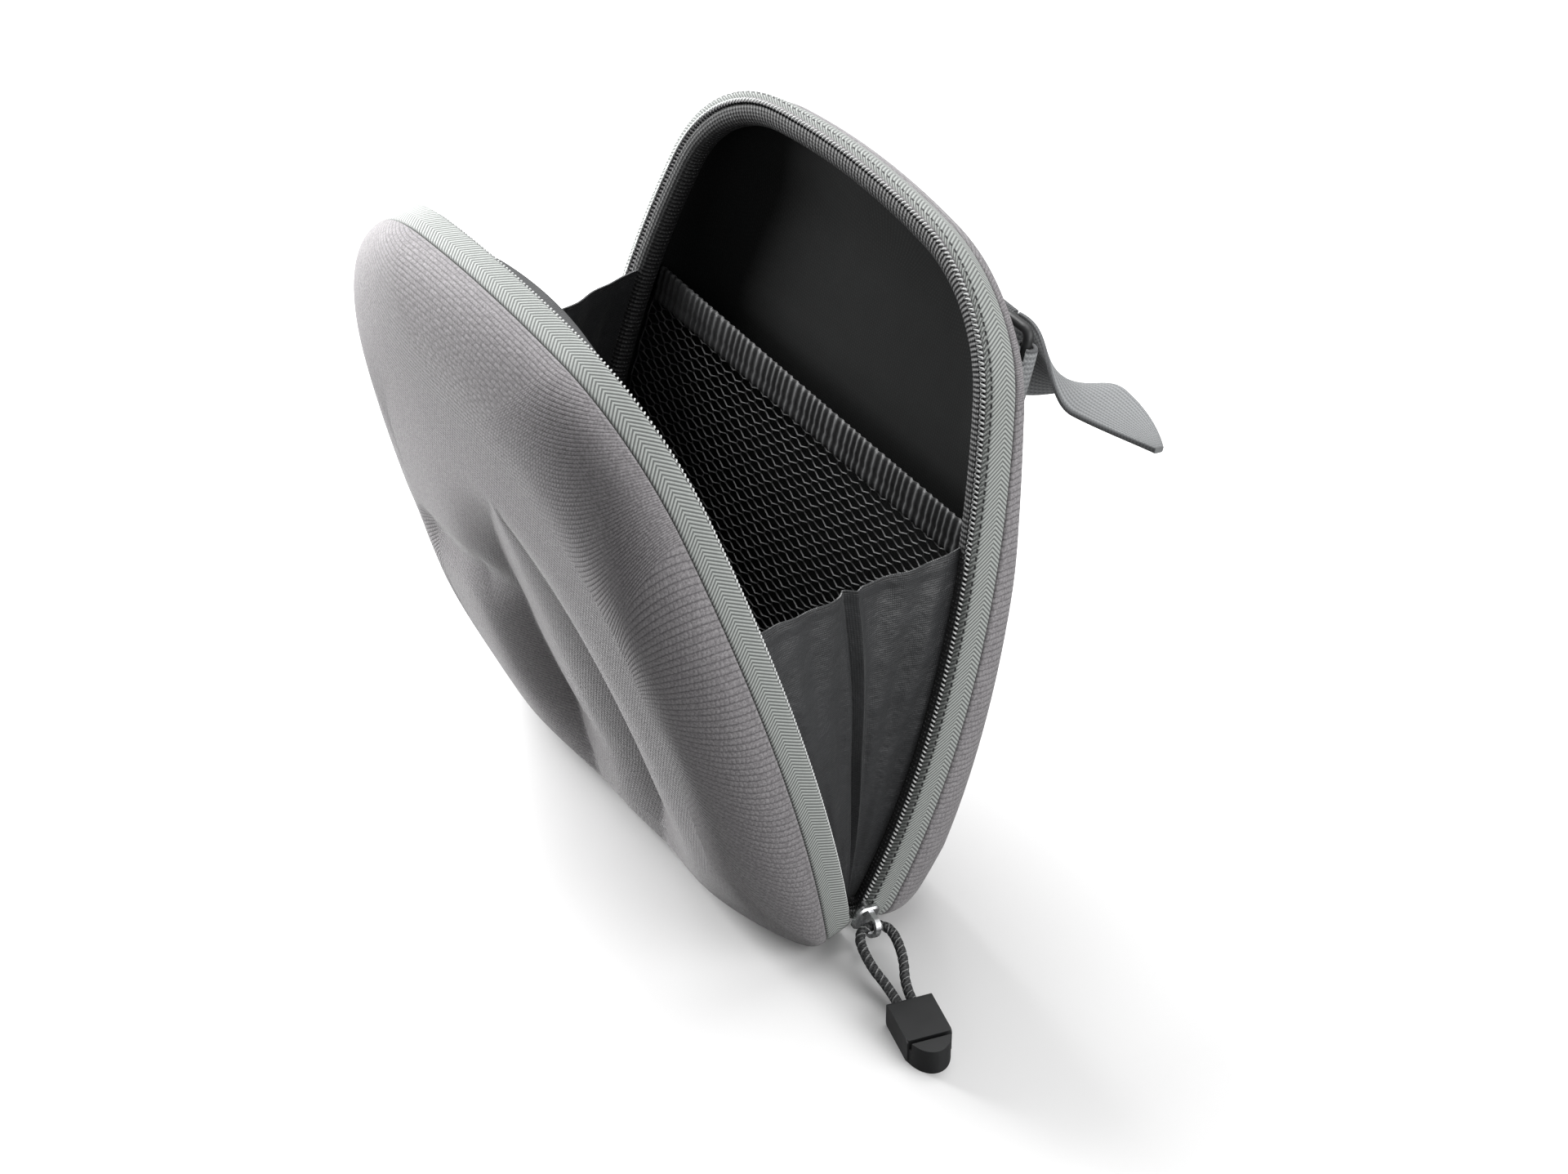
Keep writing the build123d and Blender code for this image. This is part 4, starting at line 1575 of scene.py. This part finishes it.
@dataclass(frozen=True)
class BackStrap:
    """Hand strap over the back, its patch, its loop tape and its free tail."""

    mould: Mould
    height: float = 162.0
    width: float = 25.0
    thickness: float = 2.0
    left: float = -58.0
    right: float = 40.0
    sewn: float = 18.0
    ramp: float = 18.0
    back: float = 27.0
    stand_off: float = 10.0
    patch_border: float = 2.5
    patch_thickness: float = 0.9
    loop_length: float = 46.0
    tail_gap: float = 0.3
    tail_length: float = 54.0
    tail_rise: float = 14.0
    tail_drop: float = 4.0
    tail_twist: float = 95.0
    tail_turned: float = 0.55
    tip_width: float = 3.0
    tip_share: float = 0.45

    def level(self, x: Array) -> Array:
        """Middle of the strap, out from the rim.

        Args:
            x: Across the case.

        Returns:
            Depths.
        """
        lift = eased((x - self.left - self.sewn + 2) / (self.ramp + 2))
        wall = self.mould.face_at(x, np.full_like(x, self.height))
        return wall + (self.back + self.stand_off - wall) * lift + self.thickness / 2

    def band(
        self, name: str, x0: float, x1: float, width: float, thickness: float,
        level: Callable[[Array], Array], cells: int,
    ) -> Object:
        """A flat band along the back between two places across it.

        Args:
            name: The piece's name.
            x0: Where it starts.
            x1: Where it ends.
            width: Its width.
            thickness: Its thickness.
            level: Depth of its middle at a place across.
            cells: Cells along it.

        Returns:
            The band, without finish.
        """
        band, u, v = Bench.grid(name, cells, 32)
        a, b = webbing_section(v, width, thickness)
        x = x0 + (x1 - x0) * u
        slope = (level(x + 0.1) - level(x - 0.1)) / 0.2
        steep = np.sqrt(1 + slope**2)
        points = Half.REAR.place(x - b * slope / steep, self.height + a, level(x) + b / steep)
        Bench.lay(band, points, np.stack([x, a], -1))
        return Bench.tube(band, 50)

    def tail(self) -> Object:
        """The free end, which turns over as it stands away from the back.

        Returns:
            The finished piece.
        """
        tail, u, v = Bench.grid("strap_tail_webbing", 90, 32)

        def centre(t: Array) -> Array:
            """The tail's middle line, in the rear half's drawing frame.

            Args:
                t: Shares of its length.

            Returns:
                Points, one row each.
            """
            settled = 1 - (1 - t) ** 2
            return np.stack([
                self.right + self.tail_gap + self.tail_length * t,
                self.height - self.tail_drop * t,
                self.back + self.stand_off + self.thickness / 2 + self.tail_rise * settled,
            ], -1)

        heading = centre(u + 0.01) - centre(u - 0.01)
        heading /= np.linalg.norm(heading, axis=1)[:, None]
        twist = np.radians(self.tail_twist * eased(u / self.tail_turned))
        outwards = np.stack([np.zeros_like(u), np.sin(twist), np.cos(twist)], -1)
        outwards -= heading * np.sum(outwards * heading, axis=1)[:, None]
        outwards /= np.linalg.norm(outwards, axis=1)[:, None]
        beside = np.cross(heading, outwards)
        tip = np.clip((u - self.tip_share) / (1 - self.tip_share), 0, 1)
        wide = self.width * (1 - (1 - self.tip_width / self.width) * tip**1.6)
        a, b = webbing_section(v, wide, self.thickness)
        place = centre(u) + beside * a[:, None] + outwards * b[:, None]
        edge = a / wide * self.width
        Bench.lay(tail, Half.REAR.place(*place.T), np.stack([u * self.tail_length, edge], -1))
        Bench.tube(tail, 50)
        return Bench.fit(tail, "tail", Webbing(), "strap_tail")

    def build(self) -> None:
        """Makes the strap's four pieces."""
        strap = self.band("hand_strap_webbing", self.left, self.right, self.width, self.thickness,
                          self.level, 120)
        Bench.fit(strap, "rear", Webbing(), "hand_strap")
        over = (self.thickness + self.patch_thickness) / 2
        patch = self.band("anchor_patch_cloth", self.left, self.left + self.sewn - self.patch_border,
                          self.width - self.patch_border, self.patch_thickness,
                          lambda x: self.level(x) + over, 24)
        Bench.fit(patch, "rear", Webbing(name="patch webbing", rib=1.2, edge=11.25), "strap_anchor_patch")
        low = self.back + self.stand_off - 0.4
        loops = self.band("loop_tape_pile", self.right - self.loop_length, self.right,
                          self.width - self.patch_border, 0.8, lambda x: np.full_like(x, low), 60)
        pile = Webbing(slot="loop_tape_cloth", name="loop pile", dark="4a4b4d", light="8d8f90",
                       rib=1.1, rows=1.3, edge=20)
        Bench.fit(loops, "rear", pile, "strap_loop_tape")
        self.tail()


@dataclass(frozen=True)
class RingTab:
    """Webbing tab that is sewn to the shoulder and holds the ring's bar."""

    mould: Mould
    bar_x: float = 55.0
    bar_level: float = 30.6
    height: float = 162.0
    width: float = 20.0
    thickness: float = 1.8
    inner: float = 1.8
    foot: float = 9.0
    loop_share: float = 0.86

    def build(self) -> Object:
        """Makes the tab: a foot on the back, then a loop round the bar.

        Returns:
            The finished piece.
        """
        radius = self.inner + self.thickness / 2
        tab, u, v = Bench.grid("ring_tab_webbing", 90, 32)
        loop = 2 * pi * radius * self.loop_share
        total = self.foot + loop
        run = u * total
        turn = -pi / 2 - np.clip(run - self.foot, 0, None) / radius
        on_foot = run < self.foot
        x = np.where(on_foot, self.bar_x + self.foot - run, self.bar_x + radius * np.cos(turn))
        wall = self.mould.face_at(x, np.full_like(x, self.height)) + self.thickness / 2
        leave = np.clip(run / self.foot, 0, 1) ** 3
        lifted = wall + (self.bar_level - radius - wall) * leave
        d = np.where(on_foot, lifted, self.bar_level + radius * np.sin(turn))
        a, b = webbing_section(v, self.width, self.thickness)
        out_x = np.where(on_foot, 0, np.cos(turn))
        out_d = np.where(on_foot, -1, np.sin(turn))
        points = Half.REAR.place(x + b * out_x, self.height + a, d + b * out_d)
        Bench.lay(tab, points, np.stack([run, a], -1))
        Bench.tube(tab, 50)
        return Bench.fit(tab, "rear", Webbing(name="tab webbing", edge=10), "ring_tab")


@dataclass(frozen=True)
class Pull:
    """Braided cord loop of the zip slider and the moulded end that grips it."""

    bail: tuple[float, float] = (89.776, -11.69)
    heading: float = radians(-14)
    diameter: float = 3.0
    braid_pitch: float = 2.6
    route: tuple[tuple[float, float, float], ...] = (
        (29, -2.1, 4.2), (21, -2.1, 4.2), (11.5, -5.4, 7.522), (0, -5.0, 10.239),
        (0, 5.0, 10.239), (11.5, 5.4, 7.522), (21, 2.1, 4.2), (29, 2.1, 4.2),
    )

    def points(self) -> list[Vector]:
        """The route's points in metres.

        Returns:
            The points in order.
        """
        u = Vector((cos(self.heading), sin(self.heading)))
        v = Vector((-sin(self.heading), cos(self.heading)))
        base = Vector(self.bail)
        return [Vector((*(base + u * out + v * across), z)) * MM for out, across, z in self.route]

    def spline(self) -> Array:
        """Points along the route's smooth spline.

        Returns:
            Points in metres, one row each.
        """
        curve = bpy.data.curves.new("pull_route", "CURVE")
        curve.dimensions = "3D"
        line = curve.splines.new("NURBS")
        route = self.points()
        line.points.add(len(route) - 1)
        for point, at in zip(line.points, route):
            point.co = (*at, 1)
        line.order_u = 3
        line.use_endpoint_u = True
        line.resolution_u = 24
        holder = bpy.data.objects.new("pull_route", curve)
        bpy.context.scene.collection.objects.link(holder)
        mesh = bpy.data.meshes.new_from_object(holder)
        points = np.array([v.co[:] for v in mesh.vertices])
        bpy.data.objects.remove(holder)
        return points

    def cord(self) -> Object:
        """The cord: a tube of braided strands along the spline.

        Returns:
            The finished piece.
        """
        line = self.spline()
        runs = np.concatenate([[0], np.cumsum(np.linalg.norm(np.diff(line, axis=0), axis=1))])
        cord, u, v = Bench.grid("pull_cord_braid", 420, 24)

        def at(share: Array) -> Array:
            """Points at shares of the cord's length."""
            return np.stack([np.interp(share * runs[-1], runs, line[:, i]) for i in range(3)], -1)

        heading = at(np.minimum(u + 0.004, 1)) - at(np.maximum(u - 0.004, 0))
        heading /= np.linalg.norm(heading, axis=1)[:, None]
        beside = np.cross(heading, (0, 0, 1.0))
        beside /= np.linalg.norm(beside, axis=1)[:, None]
        above = np.cross(beside, heading)
        angle = 2 * pi * v
        run = u * runs[-1] / MM
        left, right = (np.cos(4 * angle + way * 2 * pi * run / self.braid_pitch) for way in (1, -1))
        radius = self.diameter / 2 * (0.9 + 0.1 * np.maximum(left, right))
        out = np.cos(angle)[:, None] * beside + np.sin(angle)[:, None] * above
        points = at(u) + out * radius[:, None] * MM
        Bench.lay(cord, points, np.stack([v, run], -1))
        Bench.tube(cord, 70, 0.005)
        Bench.fit(cord, "pull", Braid(), "pull_cord")
        return cord


def keep_solids() -> None:
    """Dresses the hard solids whose shape is already the finished one."""
    finishes = {
        "front_zip_stops": Plated(slot="zip_stop_metal", name="crimped stop", tone="a9aaac"),
        "rear_zip_stops": Plated(slot="zip_stop_metal", name="crimped stop", tone="a9aaac"),
        "strap_ring": Moulded(),
        "zip_slider": Plated(),
        "pull_cord_end": Moulded(slot="cord_end_plastic", name="moulded cord end", low="101112",
                                 high="191a1b", rough=0.4),
    }
    for node, finish in finishes.items():
        Bench.dress(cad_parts[node], finish)


# ------------------------------------------------------------------ the studio


@dataclass(frozen=True)
class Studio:
    """Pale floor, soft light and the camera."""

    camera_at: tuple[float, float, float] = (0.7686, -0.49753, 0.79157)
    azimuth: float = radians(-33.87600)
    elevation: float = radians(38.23134)
    roll: float = radians(-0.12979)
    lens: float = 91.05
    sensor: float = 36.0
    floor_size: float = 8.0

    def camera(self) -> None:
        """Sets the camera at the view of the finished picture."""
        bpy.ops.object.camera_add()
        camera = bpy.context.object
        heading = Matrix.Rotation(self.azimuth + pi / 2, 4, "Z")
        pitch = Matrix.Rotation(pi / 2 - self.elevation, 4, "X")
        turn = heading @ pitch @ Matrix.Rotation(self.roll, 4, "Z")
        camera.matrix_world = Matrix.Translation(self.camera_at) @ turn
        camera.data.sensor_width = self.sensor
        camera.data.lens = self.lens
        camera.data.clip_start, camera.data.clip_end = 0.05, 50
        bpy.context.scene.camera = camera

    def floor(self) -> None:
        """A white floor that keeps the case's shadow."""
        bpy.ops.mesh.primitive_plane_add(size=self.floor_size)
        floor = bpy.context.object
        floor.name = "studio_floor"
        paint = bpy.data.materials.new("studio floor")
        floor.data.materials.append(paint)
        sheet = Sheet(paint)
        seen = sheet.signal("ShaderNodeLightPath", None, {}, "Is Camera Ray")
        sheet.paint(Base_Color=sheet.blend(seen, "5c5c5c", "eaeaea"), Roughness=0.25)

    def lamp(self, name: str, at: tuple, to: tuple, size: float, power: float) -> None:
        """A square soft box that looks at a point.

        Args:
            name: Its name.
            at: Where it stands.
            to: Where it looks.
            size: Side of the box.
            power: Its power in watts.
        """
        bpy.ops.object.light_add(type="AREA", location=at)
        lamp = bpy.context.object
        lamp.name = name
        lamp.data.size = size
        lamp.data.energy = power
        lamp.rotation_euler = (Vector(to) - Vector(at)).to_track_quat("-Z", "Y").to_euler()

    def build(self) -> None:
        """Makes the whole stage."""
        self.camera()
        self.floor()
        self.lamp("left light", (-0.85, -0.1, 0.7), (0, 0, 0.12), 0.8, 22)
        self.lamp("near left light", (-0.6, -0.27, 0.2), (-0.05, -0.05, 0.1), 0.25, 5.6)
        self.lamp("right light", (0.95, 0.5, 0.6), (0, 0, 0.1), 0.8, 9)
        self.lamp("side light", (1.0, -0.02, 0.22), (0, 0, 0.12), 0.5, 3)
        self.lamp("top light", (-0.1, 0.35, 1.2), (0, 0, 0.1), 0.8, 8)
        world = bpy.data.worlds.new("studio")
        bpy.context.scene.world = world
        sky = Sheet(world, "BACKGROUND")
        rays = sky.node("ShaderNodeLightPath").outputs
        seen = Signal(sky, rays["Is Camera Ray"]).most(Signal(sky, rays["Is Glossy Ray"]))
        strength = sky.signal("ShaderNodeMapRange", None, {0: seen, "To Min": 0.15, "To Max": 1.0})
        sky.paint(Color="ffffff", Strength=strength)
        bpy.context.scene.view_settings.view_transform = "Standard"


def main() -> None:
    """Builds the stage and every sub-assembly."""
    logging.basicConfig(level=logging.INFO, format="%(name)s %(message)s")
    Studio().build()
    Pull().cord()
    front = Mould(Half.FRONT, depth=28.0, rounding=25.4, face_drop=8.0, dome=3.5, heel=8.0, leaf=Leaf())
    rear = Mould(
        Half.REAR, depth=27.0, rounding=23.5, face_drop=11.0, belly=4.5, taper=4.0, shoulder=11.0,
        crown_fall=6.0, bottom_growth=0.4,
    )
    for mould in (front, rear):
        MouldedHalf(mould).build()
        RimTrim(mould.half).build()
    ZipGuardLip().build()
    for side in (1, -1):
        Gusset(side).build()
    HingeStrip().build()
    pocket = MeshPocket()
    pocket.net()
    pocket.band()
    BackStrap(rear).build()
    RingTab(rear).build()
    keep_solids()


if __name__ == "__main__":
    main()
